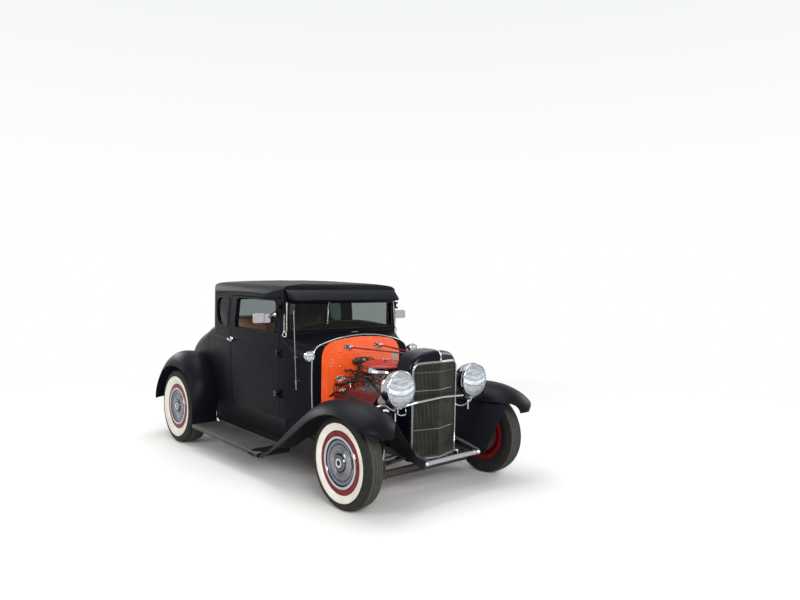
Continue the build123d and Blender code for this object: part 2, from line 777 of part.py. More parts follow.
def make_body():
    cowl_outer = hull(cowl_table)
    opened = block((-560, 560), (1000, deck_front_y - 40), (900, 1300))
    tail_inner = tail_table[:-1] + [(tail_y - body_wall, *tail_table[-1][1:])]
    sides = hull(door_table) - hull(door_table, body_wall) - opened
    quarters = hull(quarter_table) - hull(quarter_table, body_wall) - opened
    rear = quarters + (hull(tail_table) - hull(tail_inner, body_wall))
    rear += hull(quarter_table, 1) & block((-600, 600), (2240, 2262), (sill_z, 1040))

    upper = cabin_upper() - cabin_upper(body_wall) - block((-700, 700), (900, 2500), (900, 1000))
    for solid in (cowl_outer, hull(door_table), hull(quarter_table), hull(tail_table)):
        upper = upper - solid
    upper = upper - both(side_window(*quarter_window, quarter_corners))
    upper = upper - end_window(*rear_window, (2250, 2400), 40)
    upper = upper - end_window(*screen_opening, (950, 1085), 20)
    door = (sides & door_zone(door_gap)) + (upper & door_zone(door_gap))
    door = door - side_window(*door_window, (30, 30, 30, 30))
    door_hole = block((500, 700), (door_front_y - 3, door_rear_y), (1000, door_top_z + 6))
    roof = upper - both(door_hole)

    cowl = cowl_outer - hull(cowl_table, 18)
    cowl += extrude(hull_section(*cowl_table[0]), amount=18, dir=(0, 1, 0))
    cowl -= extrude(firewall_face(), amount=18, dir=(0, 1, 0))
    cowl += block((-600, 600), (1050, 1065), (985, 1080)) & cowl_outer
    lid = rear & deck_zone(0)
    return cowl, rear - deck_zone(5), lid, roof, door


def barrels(leaf_low, leaf_high):
    """Three-barrel hinge about Z: the outer barrels with pin and leaf, and the one they hold."""
    fixed = Cylinder(hinge_pin_r, 60)
    for shift in (-22, 22):
        fixed += Pos(0, 0, shift) * Cylinder(hinge_r, 17)
        fixed += block((leaf_low, leaf_high), (-32, -4), (shift - 8, shift + 8))
    swing = Cylinder(hinge_r, 25) + block((leaf_low, leaf_high), (4, 32), (-12, 12))
    swing -= Cylinder(hinge_pin_r + pin_clearance, 40)
    return fixed, swing


def make_doors(cowl, roof, door):
    # height, depth of the leaves into the pillar
    fixed = []
    for z, reach in ((603, 36), (926, 30), (1296, 46)):
        post, swing = barrels(-reach, 0)
        place = Pos(hinge_x, door_front_y, z)
        door = door + place * swing
        fixed.append(place * post)
    cowl = cowl + both(fixed[0]) + both(fixed[1])
    roof = roof + both(fixed[2])
    handle = rod((620, 1828, 978), (668, 1828, 978), 8) + rod((668, 1835, 978), (668, 1742, 970), 9)
    arm = rod((590, 1130, 1235), (665, 1140, 1215), 6)
    mirror_plate = block((648, 797), (1136, 1148), (1171, 1243))
    mirror_plate = fillet(mirror_plate.edges().filter_by(Axis.Y), 14)
    return cowl, roof, door + handle + arm + mirror_plate


def make_lid(tail, lid):
    """Fit the deck lid's two hinges, whose line runs across the car just above the deck."""
    y, z = lid_hinge
    for x in (-250, 250):
        fixed, swing = barrels(-3, 24)
        place = Pos(x, y, z) * Rot(0, 90, 0)
        tail = tail - place * Cylinder(hinge_r + 2, 28) + place * fixed
        for shift in (-22, 22):
            lid = lid - place * Pos(0, 0, shift) * Cylinder(hinge_r + 2, 22)
        lid = lid + place * swing
    return tail, lid


def make_glazing():
    skin = layer(0, 20)
    frame = skin & end_window(*screen_opening, (950, 1085), 19, 1)
    frame -= end_window(*screen_opening, (940, 1095), 12, 22)
    save("windshield_frame", frame)
    pane = layer(glass_depth, glass_depth + glass_thick)
    screen = pane & end_window(*screen_opening, (950, 1085), 12, 22)
    rear = pane & end_window(*rear_window, (2250, 2400), 39, 1)
    side = pane & side_window(*quarter_window, [radius - 1 for radius in quarter_corners], 1)
    save("fixed_glass", solids_of(screen, rear, both(side)))


def make_visor():
    profile = [(1046, 1430), (934, 1360), (934, 1350), (1038, 1416)]
    save("sun_visor", side_prism(profile, (-566, 566)) - cabin_upper())


def firewall_face():
    """Outline of the firewall inside the cowl's front flange, drawn upright at the cowl's front."""
    side, side_top, shoulder = 402, 900, (299, 1036)
    half = [Line((side, sill_z), (side, side_top)), ThreePointArc((side, side_top), (375, 988), shoulder)]
    crown = ThreePointArc(shoulder, (0, 1063), (-shoulder[0], shoulder[1]))
    other = [ThreePointArc((-shoulder[0], shoulder[1]), (-375, 988), (-side, side_top)),
             Line((-side, side_top), (-side, sill_z))]
    face = make_face([*half, crown, *other, Line((-side, sill_z), (side, sill_z))])
    return Plane.XZ.offset(-cowl_front_y) * face


def make_firewall():
    depth = 6
    plate = extrude(firewall_face(), amount=depth, dir=(0, 1, 0))
    plate -= rod((0, 700, crank_z), (0, 800, crank_z), 172)
    plate -= rod(column_hub, along(column_foot, column_hub, -40), 22.5)
    save("firewall", plate)


def splash_apron():
    """Sloping panel between the running board and the sill."""
    low = board_z[1]
    section = [(517, low - 10), (522, low - 10), (522, low + 40), (565, 398), (560, 398), (517, low + 40)]
    ends = [make_face(Polyline(*[(x, y, z) for x, z in section], close=True))
            for y in (board_y[0], apron_rear_y)]
    return loft(ends, ruled=True)


def make_boards(fenders):
    board = block(board_x, board_y, board_z)
    board = fillet(board.edges().filter_by(Axis.Y).sort_by(Axis.X)[-2:], 12)
    pieces = []
    for piece in (board, splash_apron() - board):
        cut = piece - fenders
        pieces.append(both(cut.solids().sort_by(SortBy.VOLUME)[-1]))
    save("running_boards", solids_of(*pieces))


def make_floor():
    floor = block((-540, 540), (1068, 2100), (sill_z, sill_z + 14))
    floor += block((-530, 530), (2100, 2238), (sill_z, sill_z + 14))
    floor += block((-440, 440), (cowl_front_y + 18, 1068), (sill_z, sill_z + 14))
    front = Plane.XZ.offset(-cowl_front_y - 6) * Pos(0, crank_z)
    back = Plane.XZ.offset(-1320) * Pos(0, crank_z - 20)
    floor -= loft([front * Circle(172), back * Circle(108)], ruled=True)
    tunnel = loft([front * Circle(178), back * Circle(114)], ruled=True)
    tunnel -= loft([front * Circle(172), back * Circle(108)], ruled=True)
    floor += tunnel & block((-200, 200), (cowl_front_y + 6, 1320), (sill_z, 600))
    floor += block((-390, 390), (2262, 3020), (505, 513))
    save("floor", solids_of(floor))


def make_seat():
    cushion = fillet(block((-520, 520), (1530, 2040), (560, 720)).edges().filter_by(Axis.X), 40)
    back = Pos(0, 2100, 940) * Rot(-12, 0, 0) * Box(1040, 130, 440)
    back = fillet(back.edges().filter_by(Axis.X), 40)
    base = block((-500, 500), (1560, 2030), (sill_z + 14, 560))
    save("seat", solids_of(cushion, back - cushion, base))


def make_column(frame):
    top = along(column_hub, column_foot, 40)
    foot_box = (316, 215, 436)
    column = rod(top, column_foot, 22)
    column += rod(column_foot, foot_box, 9)
    column += rod((300, 82, 412), foot_box, 20)
    column += block((206, 312), (72, 200), (392, 452))
    column += block((258, 298), (90, 180), (355, 394)) - frame
    column += level * Pos(pitman_x, pitman_y, 337) * Cylinder(19, 130)
    column -= level * Pos(pitman_x, pitman_y, 275) * Cylinder(12 + pin_clearance, 60)
    column += block((334, 366), (1050, 1065), (745, 985))
    save("steering_column", column)


def make_steering_wheel():
    plane = Plane(origin=column_hub, x_dir=(1, 0, 0), z_dir=Vector(*column_hub) - Vector(*column_foot))
    wheel = Torus(wheel_rim_r, 12) + Pos(0, 0, -18) * Cylinder(34, 40)
    for turn in (90, 210, 330):
        wheel += Rot(0, 0, turn) * Pos(wheel_rim_r / 2, 0, -6) * Box(wheel_rim_r, 14, 6)
    save("steering_wheel", plane.location * wheel)


def make_aerial():
    foot, tip = (-572, 857, 664), (-572, 911, 1277)
    aerial = rod(foot, tip, 3)
    aerial += rod(foot, along(foot, tip, 60), 5)
    for reach in (66, 249):
        hold = along(foot, tip, reach)
        aerial += rod((hold[0] - 6, *hold[1:]), (-490, *hold[1:]), 6)
    save("aerial", aerial - hull(cowl_table))


def front_fender(cowl_outer):
    trim = extrude(make_face([
        ThreePointArc((880, -255), (785, -364), (640, -395)), Line((640, -395), (440, -200)),
        Line((440, -200), (440, 1100)), Line((440, 1100), (880, 1100)), Line((880, 1100), (880, -255)),
    ]), amount=1000)
    # y, upper x, upper z, lower x, lower z
    skirt_table = [(-318, 545, 604, 292, 262), (-150, 478, 602, 302, 300), (150, 452, 592, 318, 378),
                   (450, 458, 500, 342, 385), (640, 482, 415, 352, 388)]
    skirt = loft([make_face(Polyline((ux, y, uz), (ux + sheet, y, uz), (lx + sheet, y, lz), (lx, y, lz),
                                     close=True)) for y, ux, uz, lx, lz in skirt_table], ruled=True)
    shape = ((fender(front_fender_table) & trim) + skirt) - cowl_outer
    return shape.solids().sort_by(SortBy.VOLUME)[-1]


def rear_fender():
    shape = fender(rear_fender_table) - hull(quarter_table) - hull(tail_table)
    return shape.solids().sort_by(SortBy.VOLUME)[-1]


make_wheels()
make_front_axle()
make_knuckles()
make_steering_links()
frame = make_frame()
make_springs()
make_rear_axle()
make_radius_rods()
make_shocks()
make_engine()
make_valve_covers()
make_intake()
make_air_cleaner()
make_exhaust()
make_front_drive()
make_shell()
make_grille()
make_radiator()
make_lamps()
front = front_fender(hull(cowl_table))
rear = rear_fender()
save("front_fenders", both(front))
save("rear_fenders", both(rear))
make_front_bars(both(front))
make_support_rods()
make_boards(front + rear)
make_floor()
make_seat()
make_column(frame)
make_steering_wheel()
make_aerial()
make_firewall()
make_glazing()
make_visor()
cowl, tail, lid, roof, door = make_body()
cowl, roof, door = make_doors(cowl, roof, door)
tail, lid = make_lid(tail, lid)
save("cowl", cowl)
save("rear_body", tail)
save("decklid", lid)
save("roof", roof)
save("door_left", door)
save("door_right", mirror(door, about=Plane.YZ))
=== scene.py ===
import math

import bpy
from mathutils import Matrix, Vector
from mathutils.bvhtree import BVHTree


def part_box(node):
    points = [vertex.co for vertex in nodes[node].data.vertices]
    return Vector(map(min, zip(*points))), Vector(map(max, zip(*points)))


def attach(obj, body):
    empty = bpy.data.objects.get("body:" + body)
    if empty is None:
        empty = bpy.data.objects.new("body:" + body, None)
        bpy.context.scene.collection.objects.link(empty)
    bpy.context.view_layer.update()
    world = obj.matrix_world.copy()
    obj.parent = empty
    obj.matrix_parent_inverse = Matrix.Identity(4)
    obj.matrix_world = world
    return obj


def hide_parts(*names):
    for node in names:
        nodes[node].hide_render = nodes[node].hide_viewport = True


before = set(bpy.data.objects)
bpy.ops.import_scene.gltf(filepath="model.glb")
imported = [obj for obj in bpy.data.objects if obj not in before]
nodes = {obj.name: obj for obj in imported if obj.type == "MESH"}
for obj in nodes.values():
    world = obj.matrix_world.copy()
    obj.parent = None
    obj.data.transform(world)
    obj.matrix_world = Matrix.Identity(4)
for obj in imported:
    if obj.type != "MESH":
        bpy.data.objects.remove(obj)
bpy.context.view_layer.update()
print("frame loaded:", len(nodes), "nodes")

# places: the chassis and body sit nose-down by the rake, the wheels stand level
rake = math.radians(1.8)
tyreLow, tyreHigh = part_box("tyre_front_left")
axleY = (tyreLow.y + tyreHigh.y) / 2
sides = (("left", 1), ("right", -1))


def at(x, y, z):  # chassis millimetres, y counted back from the front axle
    level = y * math.cos(rake) - z * math.sin(rake)
    height = z * math.cos(rake) + y * math.sin(rake)
    return Vector((x / 1000, axleY + level / 1000, height / 1000))


def trace(side, *places):  # chassis points, x counted towards side
    return [at(side * x, y, z) for x, y, z in places]


def onFloor(x, y, z):  # millimetres level with the floor, y from the front axle
    return Vector((x / 1000, axleY + y / 1000, z / 1000))


def tipped(direction):
    return Matrix.Rotation(rake, 3, "X") @ Vector(direction)


upward, downward, forward, rearward = (tipped(way) for way in ((0, 0, 1), (0, 0, -1), (0, -1, 0),
                                                               (0, 1, 0)))


def facing(origin, direction):  # local Z looks along direction
    turn = Vector(direction).to_track_quat("Z", "Y")
    return Matrix.Translation(origin) @ turn.to_matrix().to_4x4()


# camera first, from the photograph's own view
cameraPlace = {"x": -3.280, "back": -3.478, "z": 1.464, "yaw": 41.25, "pitch": -0.85, "lens": 29.115}
cameraData = bpy.data.cameras.new("viewCamera")
cameraData.lens = cameraPlace["lens"]
cameraData.sensor_width = 36
camera = bpy.data.objects.new("viewCamera", cameraData)
bpy.context.scene.collection.objects.link(camera)
camera.location = (cameraPlace["x"], axleY + cameraPlace["back"], cameraPlace["z"])
camera.rotation_euler = (math.radians(90 + cameraPlace["pitch"]), 0, -math.radians(cameraPlace["yaw"]))
bpy.context.scene.camera = camera


# node trees
number, vector = "NodeSocketFloat", "NodeSocketVector"


def addNode(tree, kind, values=None, **settings):
    node = tree.nodes.new(kind)
    for key, value in settings.items():
        setattr(node, key, value)
    for key, value in (values or {}).items():
        if isinstance(value, bpy.types.NodeSocket):
            tree.links.new(value, node.inputs[key])
        else:
            node.inputs[key].default_value = value
    return node


def mathNode(tree, operation, first, second=0.0, clamp=False):
    return addNode(tree, "ShaderNodeMath", {0: first, 1: second}, operation=operation,
                   use_clamp=clamp).outputs[0]


def vectorNode(tree, operation, first, second=None, output="Vector"):
    values = {0: first} if second is None else {0: first, 1: second}
    return addNode(tree, "ShaderNodeVectorMath", values, operation=operation).outputs[output]


def spread(tree, value, low, high, kind="SMOOTHSTEP"):  # 0 below low, 1 above high
    return addNode(tree, "ShaderNodeMapRange", {"Value": value, "From Min": low, "From Max": high},
                   interpolation_type=kind).outputs[0]


def noiseNode(tree, place, scale, detail, rough=0.5):
    return addNode(tree, "ShaderNodeTexNoise", {"Vector": place, "Scale": scale, "Detail": detail,
                                                "Roughness": rough}).outputs["Fac"]


def mixColour(tree, factor, first, second, blend="MIX"):
    return addNode(tree, "ShaderNodeMix", {0: factor, 6: first, 7: second}, data_type="RGBA",
                   blend_type=blend).outputs[2]


def objectPlace(tree):
    return addNode(tree, "ShaderNodeTexCoord").outputs["Object"]


def splitVector(tree, value):
    return addNode(tree, "ShaderNodeSeparateXYZ", {0: value}).outputs


def geometry(tree, output):
    return addNode(tree, "ShaderNodeNewGeometry").outputs[output]


def makeGroup(build, output, **inputs):  # build works out the one output from the named inputs
    tree = bpy.data.node_groups.new(build.__name__, "ShaderNodeTree")
    for label, value in inputs.items():
        kind = vector if isinstance(value, tuple) else number
        tree.interface.new_socket(name=label, in_out="INPUT", socket_type=kind).default_value = value
    tree.interface.new_socket(name=output, in_out="OUTPUT", socket_type=number)
    into, out = tree.nodes.new("NodeGroupInput"), tree.nodes.new("NodeGroupOutput")
    tree.links.new(build(tree, into.outputs), out.inputs[output])
    return tree


def fromGroup(tree, group, **values):
    return addNode(tree, "ShaderNodeGroup", values, node_tree=group).outputs[0]


def panelTone(tree, given):  # slow change of tone over a panel
    noise = noiseNode(tree, objectPlace(tree), given["Scale"], 5.0, 0.6)
    return spread(tree, noise, given["Low"], given["High"], "LINEAR")


def fineGrain(tree, given):  # fine even grain, as height
    return noiseNode(tree, objectPlace(tree), given["Scale"], 3.0, 0.55)


def roadDust(tree, given):  # dust that lies on what faces up
    facingUp = spread(tree, splitVector(tree, geometry(tree, "Normal"))["Z"], given["Low"], 1.0, "LINEAR")
    patchy = spread(tree, noiseNode(tree, objectPlace(tree), given["Scale"], 8.0, 0.7), 0.32, 0.75)
    mask = mathNode(tree, "MULTIPLY", facingUp, patchy)
    return mathNode(tree, "MULTIPLY", mask, given["Amount"], clamp=True)


def lowDirt(tree, given):  # dirt thrown up low on the car
    place = geometry(tree, "Position")
    share = mathNode(tree, "DIVIDE", splitVector(tree, place)["Z"], given["Top"])
    low = mathNode(tree, "SUBTRACT", 1.0, share, clamp=True)
    mask = mathNode(tree, "MULTIPLY", low, spread(tree, noiseNode(tree, place, 22.0, 7.0, 0.7), 0.3, 0.7))
    return mathNode(tree, "MULTIPLY", mask, given["Amount"], clamp=True)


def smallWear(tree, given):  # small chips and rubs
    place = objectPlace(tree)
    patch = spread(tree, noiseNode(tree, place, 4.0, 4.0), 0.5, 0.7)
    chips = spread(tree, noiseNode(tree, place, given["Scale"], 9.0, 0.8), 0.56, 0.66)
    return mathNode(tree, "MULTIPLY", mathNode(tree, "MULTIPLY", patch, chips), given["Amount"], clamp=True)


def radiusFromAxle(tree, given):  # distance from a turned piece's own axis, as a share of Reach
    flat = vectorNode(tree, "MULTIPLY", objectPlace(tree), (1, 1, 0))
    return mathNode(tree, "DIVIDE", vectorNode(tree, "LENGTH", flat, output="Value"), given["Reach"])


def evenRibs(tree, given):  # even ribs along one object axis
    along = vectorNode(tree, "DOT_PRODUCT", objectPlace(tree), given["Direction"], "Value")
    turns = mathNode(tree, "MULTIPLY", mathNode(tree, "DIVIDE", along, given["Pitch"]), 2 * math.pi)
    return mathNode(tree, "COSINE", turns)


def evenSpokes(tree, given):  # even marks round the object's own Z axis
    parts = splitVector(tree, objectPlace(tree))
    angle = mathNode(tree, "ARCTAN2", parts["Y"], parts["X"])
    return mathNode(tree, "COSINE", mathNode(tree, "MULTIPLY", angle, given["Count"]))


toneGroup = makeGroup(panelTone, "Tone", Scale=3.0, Low=0.35, High=0.65)
grainGroup = makeGroup(fineGrain, "Height", Scale=900.0)
dustGroup = makeGroup(roadDust, "Mask", Amount=0.3, Scale=14.0, Low=0.1)
splashGroup = makeGroup(lowDirt, "Mask", Amount=0.4, Top=0.45)
wearGroup = makeGroup(smallWear, "Mask", Amount=0.2, Scale=60.0)
radiusGroup = makeGroup(radiusFromAxle, "Share", Reach=0.18)
ribGroup = makeGroup(evenRibs, "Height", Direction=(1, 0, 0), Pitch=0.006)
spokeGroup = makeGroup(evenSpokes, "Height", Count=120.0)


def finish(base, second, rough, tone, **more):  # two colours, roughness, scale of the change between them
    return dict(base=base, second=second, rough=rough, tone=tone, **more)


finishes = {
    "satinBlack": finish((0.0026, 0.0031, 0.0056), (0.0042, 0.0046, 0.0068), 0.38, 2.2, grain=1400,
        bump=0.02, dust=0.012, dustScale=9, dirt=0.03, ior=1.165),
    "shellBlack": finish((0.0022, 0.0028, 0.0060), (0.0036, 0.0042, 0.0075), 0.2, 3, grain=900,
        bump=0.012, dust=0.01, ior=1.22),
    "chassisBlack": finish((0.013, 0.013, 0.014), (0.028, 0.026, 0.024), 0.48, 9, grain=260, bump=0.12,
        dust=0.25, dirt=0.35, wear=0.3, wearColour=(0.07, 0.05, 0.04)),
    "orangePaint": finish((0.80, 0.085, 0.012), (0.90, 0.12, 0.02), 0.27, 4, grain=420, bump=0.03,
        dust=0.05, coat=0.45, coatRough=0.12, wear=0.1, wearColour=(0.45, 0.06, 0.02)),
    "darkRed": finish((0.075, 0.004, 0.005), (0.12, 0.007, 0.008), 0.28, 12, grain=300, bump=0.05,
        dust=0.06, ior=1.4, wear=0.2, wearColour=(0.05, 0.02, 0.015)),
    "lidRed": finish((0.27, 0.012, 0.009), (0.35, 0.02, 0.014), 0.3, 9, grain=500, bump=0.03, dust=0.05,
        ior=1.4),
    "engineRed": finish((0.24, 0.014, 0.009), (0.14, 0.011, 0.008), 0.4, 14, grain=180, bump=0.22,
        dust=0.15, dirt=0.2, wear=0.35, wearColour=(0.05, 0.03, 0.02)),
    "wheelRed": finish((0.115, 0.0035, 0.005), (0.15, 0.006, 0.008), 0.26, 10, grain=700, bump=0.02,
        dust=0.02, ior=1.26),
    "chrome": finish((0.47, 0.48, 0.50), (0.38, 0.39, 0.41), 0.07, 6, metal=1.0, grain=300, bump=0.008),
    # the cap chrome is a darker copy of chrome: painted shade for the caps' darker reflections
    "capChrome": finish((0.30, 0.305, 0.315), (0.23, 0.235, 0.25), 0.09, 7, metal=1.0, grain=300,
        bump=0.008),
    "dullChrome": finish((0.42, 0.42, 0.42), (0.26, 0.25, 0.23), 0.2, 16, metal=1.0, grain=500,
        bump=0.03),
    "grilleMetal": finish((0.125, 0.118, 0.100), (0.080, 0.076, 0.066), 0.34, 9, metal=0.8, grain=700,
        bump=0.03, dust=0.04),
    "bareSteel": finish((0.30, 0.30, 0.31), (0.17, 0.16, 0.15), 0.38, 16, metal=0.9, grain=350,
        bump=0.09, dust=0.15, dirt=0.15),
    "castAluminium": finish((0.44, 0.44, 0.44), (0.30, 0.29, 0.28), 0.46, 18, metal=0.85, grain=420,
        bump=0.16, dust=0.1),
    "hotSteel": finish((0.24, 0.20, 0.17), (0.11, 0.085, 0.075), 0.52, 20, metal=0.7, grain=260,
        bump=0.12, dirt=0.2),
    "blackRubber": finish((0.0085, 0.0085, 0.009), (0.013, 0.0125, 0.012), 0.66, 20, grain=600,
        bump=0.08, dust=0.06, dirt=0.08, ior=1.28),
    "treadFace": finish((0.040, 0.040, 0.037), (0.055, 0.054, 0.049), 0.72, 24, grain=700, bump=0.1,
        dust=0.1, dirt=0.1, ior=1.3),
    "hoseRubber": finish((0.006, 0.006, 0.0065), (0.011, 0.0105, 0.010), 0.5, 30, grain=700, bump=0.08,
        dust=0.05, ior=1.3),
    "boardRubber": finish((0.050, 0.050, 0.048), (0.078, 0.076, 0.071), 0.72, 5, grain=500, bump=0.14,
        dust=0.30, dustScale=6, ior=1.35, sideColour=(0.0034, 0.0038, 0.0058), sideRough=0.4),
    "lampGlass": finish((0.72, 0.75, 0.78), (0.56, 0.59, 0.62), 0.12, 13, clear=0.42),
    "windowGlass": finish((0.19, 0.225, 0.22), (0.18, 0.21, 0.205), 0.0, 2, clear=1.0, ior=1.2),
    "seatLeather": finish((0.34, 0.185, 0.12), (0.27, 0.14, 0.09), 0.42, 10, grain=320, bump=0.16,
        cells=True, wear=0.15, wearColour=(0.22, 0.11, 0.07)),
    "doorTrim": finish((0.36, 0.21, 0.145), (0.29, 0.165, 0.11), 0.5, 6, grain=320, bump=0.14,
        cells=True),
    "carpet": finish((0.020, 0.019, 0.019), (0.035, 0.032, 0.030), 0.92, 60, grain=900, bump=0.5,
        sheen=0.4, dust=0.2),
    "headliner": finish((0.20, 0.175, 0.15), (0.16, 0.14, 0.12), 0.85, 18, grain=1200, bump=0.2,
        sheen=0.2),
    "darkPlastic": finish((0.012, 0.012, 0.013), (0.018, 0.018, 0.018), 0.22, 9, grain=500, bump=0.02,
        coat=0.4, coatRough=0.08),
    "paleGold": finish((0.62, 0.52, 0.31), (0.48, 0.39, 0.22), 0.3, 12, metal=0.8, grain=500, bump=0.04),
    "dialFace": finish((0.62, 0.60, 0.54), (0.55, 0.53, 0.47), 0.45, 20, grain=900, bump=0.02),
    "tailRed": finish((0.55, 0.008, 0.008), (0.45, 0.006, 0.006), 0.12, 8, grain=300, bump=0.02,
        coat=0.6, coatRough=0.05),
    "palePrimer": finish((0.33, 0.35, 0.29), (0.24, 0.26, 0.22), 0.6, 24, grain=600, bump=0.08),
    "creamRubber": finish((0.63, 0.61, 0.545), (0.53, 0.505, 0.44), 0.5, 7, grain=500, bump=0.05,
        dust=0.08, dirt=0.22),
    "whiteEnamel": finish((0.70, 0.69, 0.65), (0.60, 0.58, 0.54), 0.35, 12, grain=600, bump=0.03),
}
dustColour = (0.23, 0.205, 0.17)
dirtColour = (0.12, 0.10, 0.08)
plainValues = (
    ("Metallic", "metal", 0.0), ("Coat Weight", "coat", 0.0), ("Coat Roughness", "coatRough", 0.1),
    ("IOR", "ior", 1.5), ("Sheen Weight", "sheen", 0.0), ("Transmission Weight", "clear", 0.0))


def solidColour(values):
    return (*values, 1.0)


def makeFinish(name, spec):
    material = bpy.data.materials.new(name)
    material.use_nodes = True
    tree = material.node_tree
    shader = tree.nodes["Principled BSDF"]
    tone = fromGroup(tree, toneGroup, Scale=spec["tone"])
    paint = mixColour(tree, tone, solidColour(spec["base"]), solidColour(spec["second"]))
    rough = addNode(tree, "ShaderNodeMapRange", {"Value": tone, "To Min": spec["rough"],
                                                 "To Max": spec["rough"] * 1.15 + 0.01}).outputs[0]
    layers = []
    if spec.get("wear"):
        layers.append((fromGroup(tree, wearGroup, Amount=spec["wear"]), spec["wearColour"], 0.6))
    if spec.get("dirt"):
        layers.append((fromGroup(tree, splashGroup, Amount=spec["dirt"]), dirtColour, 0.8))
    if spec.get("dust"):
        mask = fromGroup(tree, dustGroup, Amount=spec["dust"], Scale=float(spec.get("dustScale", 14)))
        layers.append((mask, dustColour, 0.85))
    if spec.get("sideColour"):  # only what faces up wears this finish
        rise = splitVector(tree, geometry(tree, "Normal"))["Z"]
        layers.append((spread(tree, rise, 0.9, 0.8), spec["sideColour"], spec["sideRough"]))
    for mask, layerColour, layerRough in layers:
        paint = mixColour(tree, mask, paint, solidColour(layerColour))
        rough = addNode(tree, "ShaderNodeMix", {0: mask, 2: rough, 3: layerRough}).outputs[0]
    tree.links.new(paint, shader.inputs["Base Color"])
    tree.links.new(rough, shader.inputs["Roughness"])
    for socket, key, usual in plainValues:
        shader.inputs[socket].default_value = spec.get(key, usual)
    if spec.get("cells"):
        height = addNode(
            tree, "ShaderNodeTexVoronoi", {"Vector": objectPlace(tree), "Scale": float(spec["grain"])},
            feature="DISTANCE_TO_EDGE").outputs["Distance"]
    elif spec.get("bump"):
        height = fromGroup(tree, grainGroup, Scale=float(spec["grain"]))
    if spec.get("bump"):
        addRelief(material, height, spec["bump"], 0.002)
    return material


def addRelief(material, height, strength, distance):  # a bump over those that are there
    tree = material.node_tree
    shader = tree.nodes["Principled BSDF"]
    values = {"Strength": strength, "Distance": distance, "Height": height}
    links = shader.inputs["Normal"].links
    if links:
        values["Normal"] = links[0].from_socket
    bump = addNode(tree, "ShaderNodeBump", values)
    tree.links.new(bump.outputs[0], shader.inputs["Normal"])


def multiplyPaint(material, layers):  # colours laid over the paint by multiplying
    tree = material.node_tree
    shader = tree.nodes["Principled BSDF"]
    paint = shader.inputs["Base Color"].links[0].from_socket
    for layer in layers:
        paint = mixColour(tree, 1.0, paint, layer, "MULTIPLY")
    tree.links.new(paint, shader.inputs["Base Color"])


looks = {name: makeFinish(name, spec) for name, spec in finishes.items()}
print("finishes made:", len(looks))


def colourRamp(tree, value, stops):  # stops are (place, colour)
    node = addNode(tree, "ShaderNodeValToRGB", {0: value})
    steps = node.color_ramp.elements
    for place, shade in stops[1:-1]:
        steps.new(place)
    for step, (place, shade) in zip(steps, stops):
        step.position = place
        step.color = (*shade, 1)
    return node.outputs[0]


def varied(source, newName):  # a finish of its own, copied from another
    material = looks[source].copy()
    material.name = newName
    looks[newName] = material
    return material


# piece makers
lookSlots = {  # the frame's slot that each look stands for, where a piece names no other
    "bright_metal": "chrome capChrome dullChrome paleGold dialFace whiteEnamel",
    "tyre_rubber": "hoseRubber blackRubber", "black_paint": "satinBlack shellBlack",
    "wheel_plastic": "darkPlastic", "seat_cover": "doorTrim seatLeather headliner",
    "chassis_paint": "chassisBlack", "orange_paint": "orangePaint", "lamp_glass": "flutedGlass lampGlass",
    "cast_metal": "castAluminium", "red_paint": "lidRed tailRed", "dark_red_paint": "darkRed",
    "bare_steel": "bareSteel hotSteel palePrimer", "board_cover": "boardRubber",
}
usualSlot = {look: slot for slot, names in lookSlots.items() for look in names.split()}


def inScene(item):
    if item.name not in bpy.context.scene.collection.objects:
        bpy.context.scene.collection.objects.link(item)
    return item


def showPiece(item, look, body="body", slot=None):
    inScene(item)
    slot = slot or usualSlot[look]
    for name in [look] if isinstance(look, str) else look:
        item.data.materials.append(looks[name])
    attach(item, body)
    return item


def meshPiece(name, points, faces, smooth=True):
    mesh = bpy.data.meshes.new(name)
    mesh.from_pydata([tuple(p) for p in points], [], faces)
    mesh.update()
    mesh.polygons.foreach_set("use_smooth", [smooth] * len(mesh.polygons))
    return bpy.data.objects.new(name, mesh)


def rounded(item, width, segments=2, angle=35):
    bevel = item.modifiers.new("roundEdges", "BEVEL")
    bevel.width = width
    bevel.segments = segments
    bevel.limit_method = "ANGLE"
    bevel.angle_limit = math.radians(angle)
    bevel.harden_normals = True
    return item


def turned(name, profile, steps=96, sharp=32):  # (radius, height) in mm about local Z
    points, faces, marks = [], [], []
    count = len(profile)
    for turn in range(steps):
        angle = 2 * math.pi * turn / steps
        for row in profile:
            radius = max(row[0], 0.05) / 1000
            points.append((radius * math.cos(angle), radius * math.sin(angle), row[1] / 1000))
    for turn in range(steps):
        here, there = turn * count, ((turn + 1) % steps) * count
        for k in range(count):
            after = (k + 1) % count
            faces.append((here + k, there + k, there + after, here + after))
            marks.append(profile[k][2] if len(profile[k]) > 2 else 0)
    item = meshPiece(name, points, faces)
    item.data.polygons.foreach_set("material_index", marks)
    item.data.set_sharp_from_angle(angle=math.radians(sharp))
    return item


def turnedPiece(name, profile, place, look, body="body", slot=None, **shape):
    item = turned(name, profile, **shape)
    item.matrix_world = place
    return showPiece(item, look, body, slot)


def line(name, points, radius, cyclic=False, sides=3, straight=False):
    curve = bpy.data.curves.new(name, "CURVE")
    curve.dimensions = "3D"
    curve.bevel_depth = radius
    curve.bevel_resolution = sides
    curve.use_fill_caps = not cyclic
    runs = points if isinstance(points[0][0], (Vector, tuple, list)) else [points]
    for run in runs:
        spline = curve.splines.new("POLY" if straight else "BEZIER")
        holders = spline.points if straight else spline.bezier_points
        holders.add(len(run) - 1)
        for holder, point in zip(holders, run):
            if straight:
                holder.co = (*point, 1)
            else:
                holder.co = point
                holder.handle_left_type = holder.handle_right_type = "AUTO"
        spline.use_cyclic_u = cyclic
        spline.resolution_u = 8
    return bpy.data.objects.new(name, curve)


